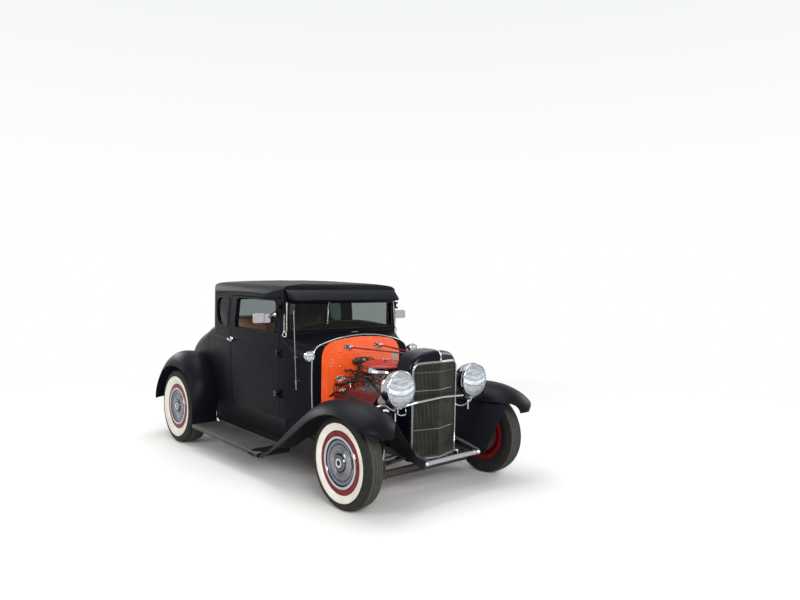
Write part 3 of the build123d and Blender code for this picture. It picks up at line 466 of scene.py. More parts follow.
def slab(name, outline, thickness, place, edge=1.5, smooth=False):  # flat plate from 2D points in mm
    count = len(outline)
    points = [place @ Vector((x / 1000, y / 1000, 0)) for x, y in outline]
    points += [place @ Vector((x / 1000, y / 1000, thickness / 1000)) for x, y in outline]
    faces = [tuple(reversed(range(count))), tuple(range(count, 2 * count))]
    faces += [(k, (k + 1) % count, count + (k + 1) % count, count + k) for k in range(count)]
    item = meshPiece(name, points, faces, smooth)
    return rounded(item, edge / 1000)


def roundedBox(width, height, corner, steps=5):
    points = []
    for sx, sy, start in ((1, 1, 0), (-1, 1, 90), (-1, -1, 180), (1, -1, 270)):
        for k in range(steps + 1):
            angle = math.radians(start + 90 * k / steps)
            points.append((sx * (width / 2 - corner) + corner * math.cos(angle), sy * (height / 2 - corner)
                           + corner * math.sin(angle)))
    return points


def turnedSet(name, profile, places, look, steps, body="body"):  # copies of a turned shape, as one piece
    copies = []
    for place in places:
        copies.append(turned(name, profile, steps=steps))
        copies[-1].data.transform(place)
    return showPiece(gather(copies, name), look, body)


def circle(radius, steps=24):
    return [(radius * math.cos(2 * math.pi * k / steps), radius * math.sin(2 * math.pi * k / steps))
            for k in range(steps)]


def boltHeads(name, places, across, height, washer=1.35):  # places are matrices, head along local Z
    points, faces = [], []
    for place in places:
        for radius, low, high, corners in (
                (across * washer / 2, 0, height * 0.25, 16), (across / 2, height * 0.25, height, 6)):
            start = len(points)
            for level, shrink in ((low, 1), (high - height * 0.12, 1), (high, 0.86)):
                for k in range(corners):
                    angle = 2 * math.pi * k / corners
                    points.append(place @ Vector((radius * shrink * math.cos(angle) / 1000, radius * shrink
                                                  * math.sin(angle) / 1000, level / 1000)))
            for ring in range(2):
                for k in range(corners):
                    here = start + ring * corners
                    faces.append((here + k, here + (k + 1) % corners, here + corners + (k + 1) % corners,
                                  here + corners + k))
            faces.append(tuple(start + 2 * corners + k for k in range(corners)))
    return meshPiece(name, points, faces, smooth=False)


def treeOf(*names):
    points, faces = [], []
    for name in names:
        mesh = nodes[name].data
        start = len(points)
        points += [v.co.copy() for v in mesh.vertices]
        faces += [tuple(start + v for v in poly.vertices) for poly in mesh.polygons]
    return BVHTree.FromPolygons(points, faces)


def hitFrom(tree, start, direction, lift=0.0):
    spot, normal = tree.ray_cast(Vector(start), Vector(direction).normalized())[:2]
    if spot is None:
        return None
    if normal.dot(Vector(direction)) > 0:
        normal = -normal
    return spot + normal * lift


def hitsFrom(tree, rays, lift=0.0):  # rays are (start, direction), those that miss are left out
    spots = [hitFrom(tree, start, direction, lift) for start, direction in rays]
    return [spot for spot in spots if spot is not None]


def sideRun(tree, side, stations, lift):  # points on a side panel, stations are (y, z) chassis mm
    return hitsFrom(tree, [(at(side * 1100, y, z), (-side, 0, 0)) for y, z in stations], lift)


def frontRun(tree, stations, lift, start=700, way=1):  # as sideRun, with (x, z) seen from the front
    return hitsFrom(tree, [(at(x, start, z), tipped((0, way, 0))) for x, z in stations], lift)


def gridFaces(rows, columns):  # faces over points listed row by row
    corners = [i * columns + j for i in range(rows - 1) for j in range(columns - 1)]
    return [(here, here + 1, here + columns + 1, here + columns) for here in corners]


def boxFaces(stations):  # faces round a run of four-point sections
    return [(4 * k + j, 4 * k + (j + 1) % 4, 4 * k + (j + 1) % 4 + 4, 4 * k + j + 4)
            for k in range(stations - 1) for j in range(4)]


def thickened(item, thickness, offset=-1.0):
    solid = item.modifiers.new("thickness", "SOLIDIFY")
    solid.thickness = thickness
    solid.offset = offset
    return item


def softened(item):
    soft = item.modifiers.new("softness", "SUBSURF")
    soft.levels = soft.render_levels = 1
    return item


def gather(pieces, name):  # join meshes that share one body into one piece
    base = pieces[0]
    for item in pieces:
        inScene(item)
    if len(pieces) > 1:
        with bpy.context.temp_override(active_object=base, selected_editable_objects=pieces):
            bpy.ops.object.join()
    base.name = name
    return base


# carried-over nodes
nodesByLook = {
    "chassisBlack": "front_axle frame leaf_springs rear_axle radius_rods radiator knuckle_left "
                    "knuckle_right",
    "dullChrome": "shock_absorbers aerial tie_rod drag_link",
    "engineRed": "engine_block",
    "darkRed": "valve_covers support_rods",
    "castAluminium": "intake",
    "lidRed": "air_cleaner",
    "hotSteel": "exhaust",
    "bareSteel": "engine_front_drive pitman_arm",
    "shellBlack": "grille_shell",
    "grilleMetal": "grille_insert",
    "chrome": "lamp_shells headlight_bar spreader_bars",
    "satinBlack": "front_fenders rear_fenders windshield_frame sun_visor cowl rear_body roof "
                  "door_left door_right decklid",
    "boardRubber": "running_boards",
    "carpet": "floor",
    "darkPlastic": "steering_column steering_wheel",
    "orangePaint": "firewall",
    "windowGlass": "fixed_glass",
}
nodeLooks = {name: look for look, names in nodesByLook.items() for name in names.split()}


def dressNodes():
    for name, item in nodes.items():
        look = nodeLooks.get(name)
        if look is None:
            look = "wheelRed" if name.startswith("wheel_") else "blackRubber"
        item.data.materials.clear()
        item.data.materials.append(looks[look])


dressNodes()
print("CAD nodes dressed")

# floor, world and lamps
studio = {"floorColour": (0.74, 0.73, 0.71), "floorSize": 40.0, "fadeFrom": 1.9, "fadeTo": 6.5,
          "worldStrength": 0.6, "horizon": (1.0, 1.0, 1.0), "zenith": (0.80, 0.82, 0.86)}


def seenDirectly(tree):  # 1 for camera, glossy and transmission rays
    path = addNode(tree, "ShaderNodeLightPath").outputs
    seen = mathNode(tree, "ADD", path["Is Camera Ray"], path["Is Glossy Ray"])
    return mathNode(tree, "ADD", seen, path["Is Transmission Ray"], clamp=True)


def makeFloor():
    rings = [0.02, 1.0, 2.5, 4.5, 7.0, 11.0, 18.0, studio["floorSize"]]
    steps = 64
    points = [(r * math.cos(2 * math.pi * k / steps), r * math.sin(2 * math.pi * k / steps), 0)
              for r in rings for k in range(steps)]
    faces = [(i * steps + k, (i + 1) * steps + k, (i + 1) * steps + (k + 1) % steps, i * steps
              + (k + 1) % steps) for i in range(len(rings) - 1) for k in range(steps)]
    floor = meshPiece("studioFloor", points, faces)
    bpy.context.scene.collection.objects.link(floor)
    material = bpy.data.materials.new("studioFloor")
    material.use_nodes = True
    tree = material.node_tree
    shader = tree.nodes["Principled BSDF"]
    place = objectPlace(tree)
    worn = [c * 0.96 for c in studio["floorColour"]]
    tint = mixColour(tree, noiseNode(tree, place, 3.0, 6.0), solidColour(studio["floorColour"]),
                     solidColour(worn))
    tree.links.new(tint, shader.inputs["Base Color"])
    shader.inputs["Roughness"].default_value = 0.75
    distance = vectorNode(tree, "LENGTH", place, output="Value")
    far = spread(tree, distance, studio["fadeFrom"], studio["fadeTo"])
    glow = addNode(tree, "ShaderNodeEmission", {"Color": (1, 1, 1, 1), "Strength": 1.0})
    blend = addNode(tree, "ShaderNodeMixShader", {0: mathNode(tree, "MULTIPLY", far, seenDirectly(tree)),
                                                  1: shader.outputs[0], 2: glow.outputs[0]})
    tree.links.new(blend.outputs[0], tree.nodes["Material Output"].inputs["Surface"])
    floor.data.materials.append(material)


def makeWorld():
    world = bpy.data.worlds.new("studioWorld")
    bpy.context.scene.world = world
    world.use_nodes = True
    tree = world.node_tree
    tree.nodes.clear()
    out = tree.nodes.new("ShaderNodeOutputWorld")
    direction = addNode(tree, "ShaderNodeTexCoord").outputs["Generated"]
    rise = spread(tree, splitVector(tree, direction)["Z"], 0.05, 0.8)
    sky = mixColour(tree, rise, solidColour(studio["horizon"]), solidColour(studio["zenith"]))
    soft = addNode(tree, "ShaderNodeBackground", {"Color": sky, "Strength": studio["worldStrength"]})
    plain = addNode(tree, "ShaderNodeBackground", {"Color": sky, "Strength": 1.0})
    mixed = addNode(tree, "ShaderNodeMixShader", {0: seenDirectly(tree), 1: soft.outputs[0],
                                                  2: plain.outputs[0]})
    tree.links.new(mixed.outputs[0], out.inputs["Surface"])


lamps = {
    # name: place, target, power, width, height
    "keyLamp": ((-3.2, -8.0, 4.0), (0, -0.6, 0.5), 520, 3.4, 2.2),
    "rightLamp": ((-7.0, -0.5, 3.2), (0, 0.2, 0.6), 210, 3.6, 2.4),
    "leftLamp": ((6.5, -2.0, 3.4), (0, 0, 0.6), 150, 3.5, 2.5),
    "topLamp": ((0.0, 0.5, 6.0), (0, 0, 0.6), 230, 4.5, 4.5),
    "rearLamp": ((-1.5, 7.5, 3.6), (0, 1.0, 0.7), 160, 3.5, 2.2),
}


def makeLamps():
    for name, (place, target, power, width, height) in lamps.items():
        data = bpy.data.lights.new(name, "AREA")
        data.energy = power
        data.shape = "RECTANGLE"
        data.size = width
        data.size_y = height
        lamp = bpy.data.objects.new(name, data)
        bpy.context.scene.collection.objects.link(lamp)
        lamp.matrix_world = facing(Vector(place), Vector(place) - Vector(target))


makeFloor()
makeWorld()
makeLamps()
bpy.context.scene.view_settings.view_transform = "Standard"
print("studio ready")

# tyres and hub caps
wheelSizes = {
    "front": dict(radius=320, half=73, tread=55, bead=56, white=263, swell=260, y=0),
    "rear": dict(radius=348, half=100, tread=82, bead=76, white=285, swell=272, y=2629),
}
capRibs = {"count": 5, "outer": 119.0, "pitch": 11.2}
capPaintedReflectionRings = [  # share of the cap's radius, tone: painted reflections, dark, bright and bluish rings multiplied over the chrome
    (0.0, (0.05, 0.05, 0.05)), (0.095, (0.07, 0.07, 0.07)),
    (0.115, (2.4, 2.4, 2.3)), (0.17, (2.1, 2.1, 2.0)),
    (0.19, (0.22, 0.23, 0.28)), (0.31, (0.55, 0.62, 0.85)), (0.33, (0.06, 0.06, 0.08)),
    (0.355, (0.08, 0.08, 0.09)), (0.37, (0.85, 0.84, 0.80)), (0.65, (0.95, 0.94, 0.90)),
    (0.67, (0.07, 0.07, 0.10)), (0.70, (0.35, 0.38, 0.50)), (0.80, (0.80, 0.84, 1.00)),
    (0.825, (0.04, 0.04, 0.07)), (0.87, (0.06, 0.06, 0.10)), (0.89, (1.75, 1.72, 1.64)),
    (0.965, (1.95, 1.92, 1.85)), (1.0, (0.3, 0.3, 0.32)),
]


def tyreProfile(size):  # (radius, outward, look), looks: 0 rubber, 1 cream band
    radius, half, tread, bead = size["radius"], size["half"], size["tread"], size["bead"]
    shoulder = radius - 9
    swell, white = size["swell"], size["white"]
    outer = [(192, bead, 0), (207, bead, 0), (211, bead + 4, 0), (214.5, bead + 5.5, 1)]
    low, top = 214.5, white
    for k in range(1, 9):
        r = low + (top - low) * k / 9
        share = (r - low) / (swell - low)
        outward = bead + 5.5 + (half - bead - 7.5) * math.sin(min(share, 1.25) * math.pi / 2)
        outer.append((r, outward, 1))
    outer += [(white, half - 2.2, 1), (white + 1.2, half - 0.8, 0), (white + 4.5, half - 0.8, 0),
              (white + 6, half - 2.5, 0)]
    span = shoulder - white - 6
    for k in range(1, 5):
        share = k / 5
        outer.append((white + 6 + span * share, half - 2.5 - (half - 3 - tread - 2)
                      * (1 - math.cos(share * math.pi / 2)), 0))
    outer += [(shoulder - 3, tread + 5, 0), (shoulder, tread + 1, 0)]
    face = []
    grooves = (-0.62, -0.21, 0.21, 0.62)
    for k in reversed(grooves):
        centre = k * tread
        for shift, deep in ((5, 0), (3.4, 5.5), (-3.4, 5.5), (-5, 0)):
            x = centre + shift
            crown = radius - 9 * (x / tread) ** 2
            face.append((crown - deep, x, 2))
    inner = [(r, -x, 0) for r, x, mark in reversed(outer)]
    lining = [(200, -bead + 12, 0), (shoulder - 14, -tread + 12, 0), (shoulder - 14, tread - 12, 0),
              (200, bead - 12, 0)]
    return outer + face + inner + lining


def capProfile(lip):
    rows = [
        (178, lip - 10), (180, lip - 7), (180, lip - 3), (178.5, lip + 1), (176, lip + 4), (171, lip + 5.6),
        (164, lip + 5.4), (158, lip + 3.2), (155, lip - 2.4), (151, lip - 3.4), (148.5, lip - 0.6),
        (141, lip - 3.0), (131, lip - 6.2), (124, lip - 7.4), (121.5, lip - 9.6)]
    for k in range(capRibs["count"]):
        outerR = capRibs["outer"] - k * capRibs["pitch"]
        base = lip - 8.6 + 7.0 * (k / capRibs["count"]) ** 2
        rows += [(outerR, base), (outerR - 2.0, base + 2.9), (outerR - 5.2, base + 2.9),
                 (outerR - 7.2, base)]
    rows += [
        (63, lip - 1.5), (61.5, lip - 3.4), (59, lip - 2.4), (57, lip + 4), (52, lip + 9.5),
        (44, lip + 11.8), (36, lip + 12), (33.5, lip + 11.6), (32, lip + 9.2), (30.5, lip + 11.2),
        (22, lip + 11.9), (19.5, lip + 11), (18.5, lip + 7), (12, lip + 6.4), (0, lip + 6.4)]
    back = [(0, lip + 3), (34, lip + 3), (56, lip - 4), (62, lip - 6), (120, lip - 13), (160, lip - 5),
            (172, lip - 5), (175, lip - 10)]
    return rows + back


def paintCapReflections():  # painted reflections on the cap, ring by ring: dark, bright and bluish rings by distance from the axis
    tree = looks["capChrome"].node_tree
    rings = colourRamp(tree, fromGroup(tree, radiusGroup, Reach=0.18), capPaintedReflectionRings)
    multiplyPaint(looks["capChrome"], [rings])


def makeRunningGear():
    for end, size in wheelSizes.items():
        for sideName, side in sides:
            corner = f"{end}_{sideName}"
            centre = onFloor(side * 700, size["y"], size["radius"])
            place = facing(centre, (side, 0, 0))
            tyre = turnedPiece(
                f"tyreDress_{corner}", tyreProfile(size), place, ["treadRubber", "creamRubber",
                "treadFace"], steps=120, sharp=50, body=f"wheel_{corner}", slot="tyre_rubber")
            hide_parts(f"tyre_{corner}")
            # the cap's chrome carries painted reflection rings
            cap = turnedPiece(f"hubCapDress_{corner}", capProfile(size["bead"] + 6), place, "capChrome",
                              steps=96, sharp=28, body=f"wheel_{corner}")
            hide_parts(f"hubcap_{corner}")
            stem = turned(f"valveStem_{corner}", [(4, 0), (4, 12), (3, 14), (3, 24), (4.4, 25), (4.4, 33),
                                                  (3.2, 35), (0, 35)], steps=16)
            lip = size["bead"] + 6
            stem.matrix_world = place @ Matrix.Translation((0.1875, 0, (lip - 30) / 1000))
            showPiece(stem, "hoseRubber", f"wheel_{corner}")


paintCapReflections()
treadRubber = varied("blackRubber", "treadRubber")
for material in (treadRubber, looks["treadFace"]):  # moulded marks round the shoulder and face
    sipes = fromGroup(material.node_tree, spokeGroup, Count=150.0)
    addRelief(material, spread(material.node_tree, sipes, 0.72, 0.95), 0.5, 0.002)
makeRunningGear()
print("wheels dressed")

# headlamps
headlamp = dict(x=370, y=-148, z=793)
lensPaintedReflectionBands = [  # painted reflection bands, from the foot of the lens to its top, bowed across it: share of its height, tone; tones above 1 are painted highlights
    (0.0, (0.62, 0.64, 0.66)), (0.20, (0.95, 0.95, 0.94)), (0.245, (0.42, 0.45, 0.50)),
    (0.275, (1.15, 1.15, 1.15)), (0.35, (1.35, 1.42, 1.55)), (0.46, (1.40, 1.46, 1.58)),
    (0.49, (0.52, 0.56, 0.62)), (0.53, (1.0, 1.0, 1.0)), (0.70, (0.92, 0.92, 0.91)),
    (0.745, (0.66, 0.68, 0.70)), (0.79, (0.95, 0.95, 0.94)), (1.0, (0.70, 0.72, 0.73)),
]


def makeHeadlamps():
    # a copy of the lamp glass with painted reflection bands and streaks multiplied into its colour
    fluted = varied("lampGlass", "flutedGlass")
    tree = fluted.node_tree
    place = objectPlace(tree)
    split = splitVector(tree, place)
    bow = mathNode(tree, "MULTIPLY", mathNode(tree, "POWER", mathNode(tree, "ABSOLUTE", split["X"]), 2.0),
                   2.1)
    level = spread(tree, mathNode(tree, "SUBTRACT", split["Y"], bow), -0.12, 0.12)
    paintedReflectionBands = colourRamp(tree, level, lensPaintedReflectionBands)
    # painted reflection streaks, lighter and darker, laid with the bands over the lens glass
    paintedReflectionStreak = noiseNode(tree, vectorNode(tree, "MULTIPLY", place, (0.35, 1.6, 1.0)), 55.0, 5.0)
    shade = mixColour(tree, spread(tree, paintedReflectionStreak, 0.36, 0.64), (0.72, 0.75, 0.78, 1), (1.22, 1.22, 1.20, 1))
    multiplyPaint(fluted, [paintedReflectionBands, shade])
    addRelief(fluted, fromGroup(tree, ribGroup, Direction=(1, 0, 0), Pitch=0.0075), 0.3, 0.001)
    for sideName, side in sides:
        place = facing(at(side * headlamp["x"], headlamp["y"], headlamp["z"]), forward)
        lens = turnedPiece(
            f"headlampLens_{sideName}", [(117.5, -2), (117.5, 2), (108, 6.5), (92, 10.5), (70, 14),
            (45, 16.4), (20, 17.6), (0, 17.8), (0, 13.8), (45, 12.6), (70, 10), (92, 6.6), (108, 2.6)],
            place, "flutedGlass", steps=96)
        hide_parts("lamp_lenses")

        def onLens(x, y):
            radius = min(math.hypot(x, y) / 117.5, 1)
            return place @ Vector((x / 1000, y / 1000, (18.6 - 16 * radius ** 2) / 1000))

        arcs = [[onLens(x, 2.1 * x * x / 1000 - 8) for x in range(-110, 111, 22)],
                [onLens(x, 2.1 * x * x / 1000 - 63) for x in range(-84, 85, 21)]]
        showPiece(line(f"headlampLensRidges_{sideName}", arcs, 0.0017, sides=2), "lampGlass")
        turnedPiece(
            f"headlampReflector_{sideName}", [(116, -4), (112, -22), (103, -48), (88, -78), (66, -106),
            (40, -126), (16, -134), (0, -135), (0, -137), (16, -136), (42, -128), (68, -108), (90, -79),
            (105, -48), (114, -22), (117.2, -4)], place, "chrome", steps=72)
        turnedPiece(
            f"headlampBulb_{sideName}", [(0, -70), (8, -73), (12, -80), (12, -88), (8, -98), (8, -110),
            (13, -111), (13, -133), (0, -133)], place, "whiteEnamel", steps=28, slot="lamp_glass")
        turnedPiece(
            f"headlampRim_{sideName}", [(116.6, 3), (118.5, 6.2), (122, 7), (125.2, 5.2), (127.6, 1),
            (128, -5), (127.2, -12), (126.4, -17), (128, -19), (128, -23), (125.6, -24), (124.4, -16),
            (122, -4), (118, -1)], place, "chrome", steps=96)
        showPiece(slab(f"headlampClip_{sideName}", roundedBox(16, 30, 3), 5,
                       place @ Matrix.Translation((0, -0.122, -0.004)), 1.2), "chrome")


makeHeadlamps()
print("headlamps made")

# grille trim
shellTrim = dict(half=212, low=272, corner=940, crown=952, prow=-152, edge=-92, span=232, fillet=52)


def openingPath(grow, steps=10):  # (x, z) round the shell's opening, closed, grown outward
    half, low = shellTrim["half"] + grow, shellTrim["low"] - grow
    corner, crown, fillet = (shellTrim[key] + grow for key in ("corner", "crown", "fillet"))
    rise = crown - corner
    arc = (half * half + rise * rise) / (2 * rise)
    arcZ = crown - arc
    filletX = half - fillet
    filletZ = arcZ + math.sqrt((arc - fillet) ** 2 - filletX ** 2)
    endAngle = math.atan2(filletZ - arcZ, filletX)
    right = [(half, low), (half, (low + filletZ) / 2)]
    right += [(filletX + fillet * math.cos(endAngle * k / steps), filletZ + fillet
               * math.sin(endAngle * k / steps)) for k in range(steps + 1)]
    right += [(arc * math.cos(endAngle + (math.pi / 2 - endAngle) * k / steps), arcZ + arc
               * math.sin(endAngle + (math.pi / 2 - endAngle) * k / steps)) for k in range(1, steps + 1)]
    return right + [(-x, z) for x, z in reversed(right[:-1])] + [(0, low)]


def onProw(x, z, stand=0):
    slope = (shellTrim["edge"] - shellTrim["prow"]) / shellTrim["span"]
    return at(x, shellTrim["prow"] + slope * abs(x) - stand, z)


def makeGrilleTrim():
    for name, grow, radius in (("grilleBeadOuter", 9, 2.6), ("grilleBeadInner", 1.5, 3.6)):
        run = [onProw(x, z, 1.0) for x, z in openingPath(grow)]
        showPiece(line(name, run, radius / 1000, cyclic=True, straight=True), "chrome")
    shellTree = treeOf("grille_shell")
    outward = [tipped((0, -math.sin(math.radians(angle)), math.cos(math.radians(angle))))
               for angle in range(0, 91, 10)]  # over the nose, from the back of the crown to the opening
    ridge = hitsFrom(shellTree, [(at(0, -60, 945) + way * 0.5, -way) for way in outward], 0.001)
    back = hitFrom(shellTree, at(0, 30, 1200), downward, 0.001)
    ridge = [back] + ridge
    showPiece(line("grilleRidge", ridge, 0.0055), "chrome")
    showPiece(slab("grilleBadgeBlank", [(x * 1.0, y * 1.45) for x, y in circle(11, 28)], 4,
                   facing(at(0, -153, 966), tipped((0, -1, 0.15))), 1.4), "chrome")
    strips = []
    for z in (474, 754):
        strips.append([onProw(x, z, -3.5) for x in (-206, 0, 206)])
    showPiece(line("grilleCrossStrips", strips, 0.0028, straight=True), "dullChrome", slot="grille_metal")


makeGrilleTrim()
print("grille trimmed")

# firewall and cowl fittings
firewallParts = {
    "boltPlaces": [(x, z) for x in (-309, -226) for z in (949, 890, 831)],
    "ovalPlate": (-216, 733, 86, 44), "patch": (352, 871, 68, 98), "swageZ": 930,
    "rodBracket": (155, 985), "beadReach": 6.5,
}
firewallFront = 762


def onFirewall(x, z, lift=0.0):
    return facing(at(x, firewallFront - lift, z), forward)


def makeFirewallFittings():
    showPiece(boltHeads("firewallBolts", [onFirewall(x, z) for x, z in firewallParts["boltPlaces"]], 9, 5),
              "dullChrome")
    edge = [(x, 1044 - 0.00043 * x * x) for x in range(-240, 241, 60)]
    edge += [(side * 388, z) for side in (-1, 1) for z in (470, 600, 730, 860)]
    showPiece(boltHeads("firewallEdgeScrews", [onFirewall(x, z) for x, z in edge], 7, 3), "orangePaint")
    x, z, width, height = firewallParts["ovalPlate"]
    showPiece(slab("firewallOvalPlate", roundedBox(width, height, height / 2 - 1, 8), 4, onFirewall(x, z),
                   1.2), "whiteEnamel")
    showPiece(boltHeads("firewallOvalSpots", [onFirewall(x + k * 24, z, 4) for k in (-1, 0, 1)], 13, 4,
                        1.2), "darkRed", slot="bright_metal")
    x, z, width, height = firewallParts["patch"]
    showPiece(slab("firewallBarePatch", roundedBox(width, height, 4), 1.6, onFirewall(x, z), 0.5),
              "palePrimer")
    showPiece(
        boltHeads("firewallPatchScrews", [onFirewall(x + a * (width / 2 - 7), z + b * (height / 2 - 7), 1.6)
        for a in (-1, 1) for b in (-1, 1)], 5, 2), "dullChrome", slot="bare_steel")
    swages = [[at(x, firewallFront - 0.5, firewallParts["swageZ"] - 0.0002 * x * x)
               for x in range(-190, 191, 38)]]
    swages += [[at(side * 352, firewallFront - 0.5, z) for z in (470, 620, 800, 885)] for side in (-1, 1)]
    showPiece(line("firewallSwages", swages, 0.0032), "orangePaint")
    for sideName, side in sides:
        x, z = side * firewallParts["rodBracket"][0], firewallParts["rodBracket"][1]
        showPiece(slab(f"rodBracket_{sideName}", roundedBox(58, 40, 9), 5, onFirewall(x, z), 1.5),
                  "dullChrome")
        showPiece(boltHeads(f"rodBracketBolts_{sideName}", [onFirewall(x + k * 21, z, 5) for k in (-1, 1)],
                            10, 6), "dullChrome")
        turnedPiece(
            f"rodKnob_{sideName}", [(16.5, -20), (17.5, -16), (17.5, -4), (14, 2), (8, 5), (0, 6), (0, 2),
            (7, 1), (12, -2), (15.8, -6), (15.8, -20)], onFirewall(x, z, 57), "chrome", steps=32)
    showPiece(slab("fuseBlock", roundedBox(70, 34, 5), 18, onFirewall(120, 845), 2), "darkPlastic")
    coil = turnedPiece(
        "ignitionCoil", [(0, 0), (26, 0), (28, 2), (28, 118), (24, 122), (24, 126), (14, 130), (14, 144),
        (9, 147), (0, 147)], facing(at(30, firewallFront - 32, 868), tipped((-1, 0, 0))), "darkPlastic",
        steps=40)
    turnedPiece("coilStrap", [(28.2, 44), (30, 44), (30, 74), (28.2, 74)], coil.matrix_world.copy(),
                "chrome", steps=40)


def hullRun(tree, y, low, steps=60, lift=0.0):  # points round the cowl, foot to foot
    outward = [tipped((math.cos(math.pi * k / steps), 0, math.sin(math.pi * k / steps)))
               for k in range(steps + 1)]
    return hitsFrom(tree, [(at(0, y, low) + way * 0.8, -way) for way in outward], lift)


def makeCowlTrim():
    cowlTree = treeOf("cowl")
    run = hullRun(cowlTree, 768, 640, lift=0.001)
    feet = [[hitFrom(cowlTree, at(side * 700, 768, z), (-side, 0, 0), 0.001) for z in heights]
            for side, heights in ((1, (440, 510, 580)), (-1, (580, 510, 440)))]
    run = feet[0] + run + feet[1]
    showPiece(line("cowlFrontBead", [p for p in run if p is not None], firewallParts["beadReach"] / 1000,
                   straight=True), "chrome")
    lace = hullRun(cowlTree, 780, 640, lift=0.0005)
    showPiece(line("cowlFrontWelt", lace, 0.0035, straight=True), "hoseRubber")
    places = []
    for k in range(1, 16):
        angle = math.pi * k / 16
        outward = tipped((math.cos(angle), 0, math.sin(angle)))
        spot = hitFrom(cowlTree, at(0, 764, 640) + outward * 0.9, -outward, -0.018)
        if spot is not None:
            places.append(facing(spot + forward * 0.003, forward))
    showPiece(boltHeads("cowlFlangeBolts", places, 8, 3.5), "dullChrome", slot="bare_steel")
    ventPlace = hitFrom(cowlTree, at(30, 925, 1300), downward, 0.0)
    showPiece(slab("cowlVent", roundedBox(210, 74, 14), 5, facing(ventPlace, tipped((0, -0.05, 1))), 2),
              "satinBlack")
    showPiece(line("cowlVentStrip", [ventPlace + tipped((x / 1000, -0.012, 0.008))
                                     for x in (-34, -12, 12, 34)], 0.004), "chrome")
    return cowlTree


def makeCowlLamps():
    for sideName, side in sides:
        place = facing(at(side * 536, 728, 936), forward)
        # the lens glass carries the headlamps' painted reflection bands and streaks
        turnedPiece(
            f"cowlLampLens_{sideName}", [(36, 0), (33, 4), (24, 7.5), (12, 9.5), (0, 10), (0, 6), (12, 5.6),
            (24, 3.8), (34, 0)], place, "flutedGlass", steps=48)
        turnedPiece(
            f"cowlLampBowl_{sideName}", [(35, -1), (28, -2), (14, -3), (0, -3.4), (0, -1), (14, -0.4),
            (28, 0.8), (35, 1.5)], place, "chrome", steps=48)
        turnedPiece(f"cowlLampRim_{sideName}", [(35, 1), (37, 4), (40, 5), (43, 3), (44.4, -1), (44.4, -6),
                                                (42.6, -7), (40, -1), (38, 1)], place, "chrome", steps=64)
        turnedPiece(
            f"cowlLampFoot_{sideName}", [(0, 0), (22, 0), (22, 4), (15, 9), (10, 22), (9.4, 34), (0, 34)],
            facing(at(side * 484, 800, 905), tipped((side, 0, 0.3))), "chrome", steps=36)


makeFirewallFittings()
cowlTree = makeCowlTrim()
makeCowlLamps()
print("firewall and cowl trimmed")

# engine dressing
engine = {"crank": 385, "firing": (300, 420, 560, 680), "plugRow": (330, 452, 528, 650), "carbY": 470,
          "capTop": 805, "distributorY": 690}


def onBank(side, across, y, out):  # across the cylinder bank, along it, and out from the crank line
    turn = math.radians(45)
    x = side * (across * math.cos(turn) + out * math.sin(turn))
    z = engine["crank"] - across * math.sin(turn) + out * math.cos(turn)
    return at(x, y, z)


def bankNormal(side):
    return tipped((side * math.sin(math.radians(45)), 0, math.cos(math.radians(45))))


def bankAcross(side):
    return tipped((side * math.cos(math.radians(45)), 0, -math.sin(math.radians(45))))


def makeCoverTrim():
    for sideName, side in sides:
        for name, across in (("Outer", 66), ("Inner", -66)):
            run = [onBank(side, across, y, 305) for y in (248, 732)]
            showPiece(line(f"coverRail{name}_{sideName}", run, 0.0042, straight=True), "chrome")
        bolts = [facing(onBank(side, across, y, 306), bankNormal(side)) for across in (-62, 62)
                 for y in (262, 370, 487, 604, 718)]
        showPiece(boltHeads(f"coverBolts_{sideName}", bolts, 11, 8), "chrome")
        ribs = [[onBank(side, across, y, 373) for y in (285, 690)] for across in (-22, -11, 0, 11, 22)]
        showPiece(line(f"coverRibs_{sideName}", ribs, 0.0032, straight=True), "darkRed")
        turnedPiece(
            f"coverBreather_{sideName}", [(0, 0), (17, 0), (17, 14), (26, 16), (28, 20), (28, 34), (25, 39),
            (12, 42), (0, 42)], facing(onBank(side, 8, 640 if side < 0 else 330, 372), bankNormal(side)),
            "chrome", steps=40)
        flanges = []
        for y in engine["firing"]:
            place = facing(at(side * 253, y, 506), tipped((side * 0.68, 0, -0.73)))
            flanges.append(slab("flange", roundedBox(62, 46, 12), 7, place, 1.5))
        showPiece(gather(flanges, f"exhaustFlanges_{sideName}"), "hotSteel")


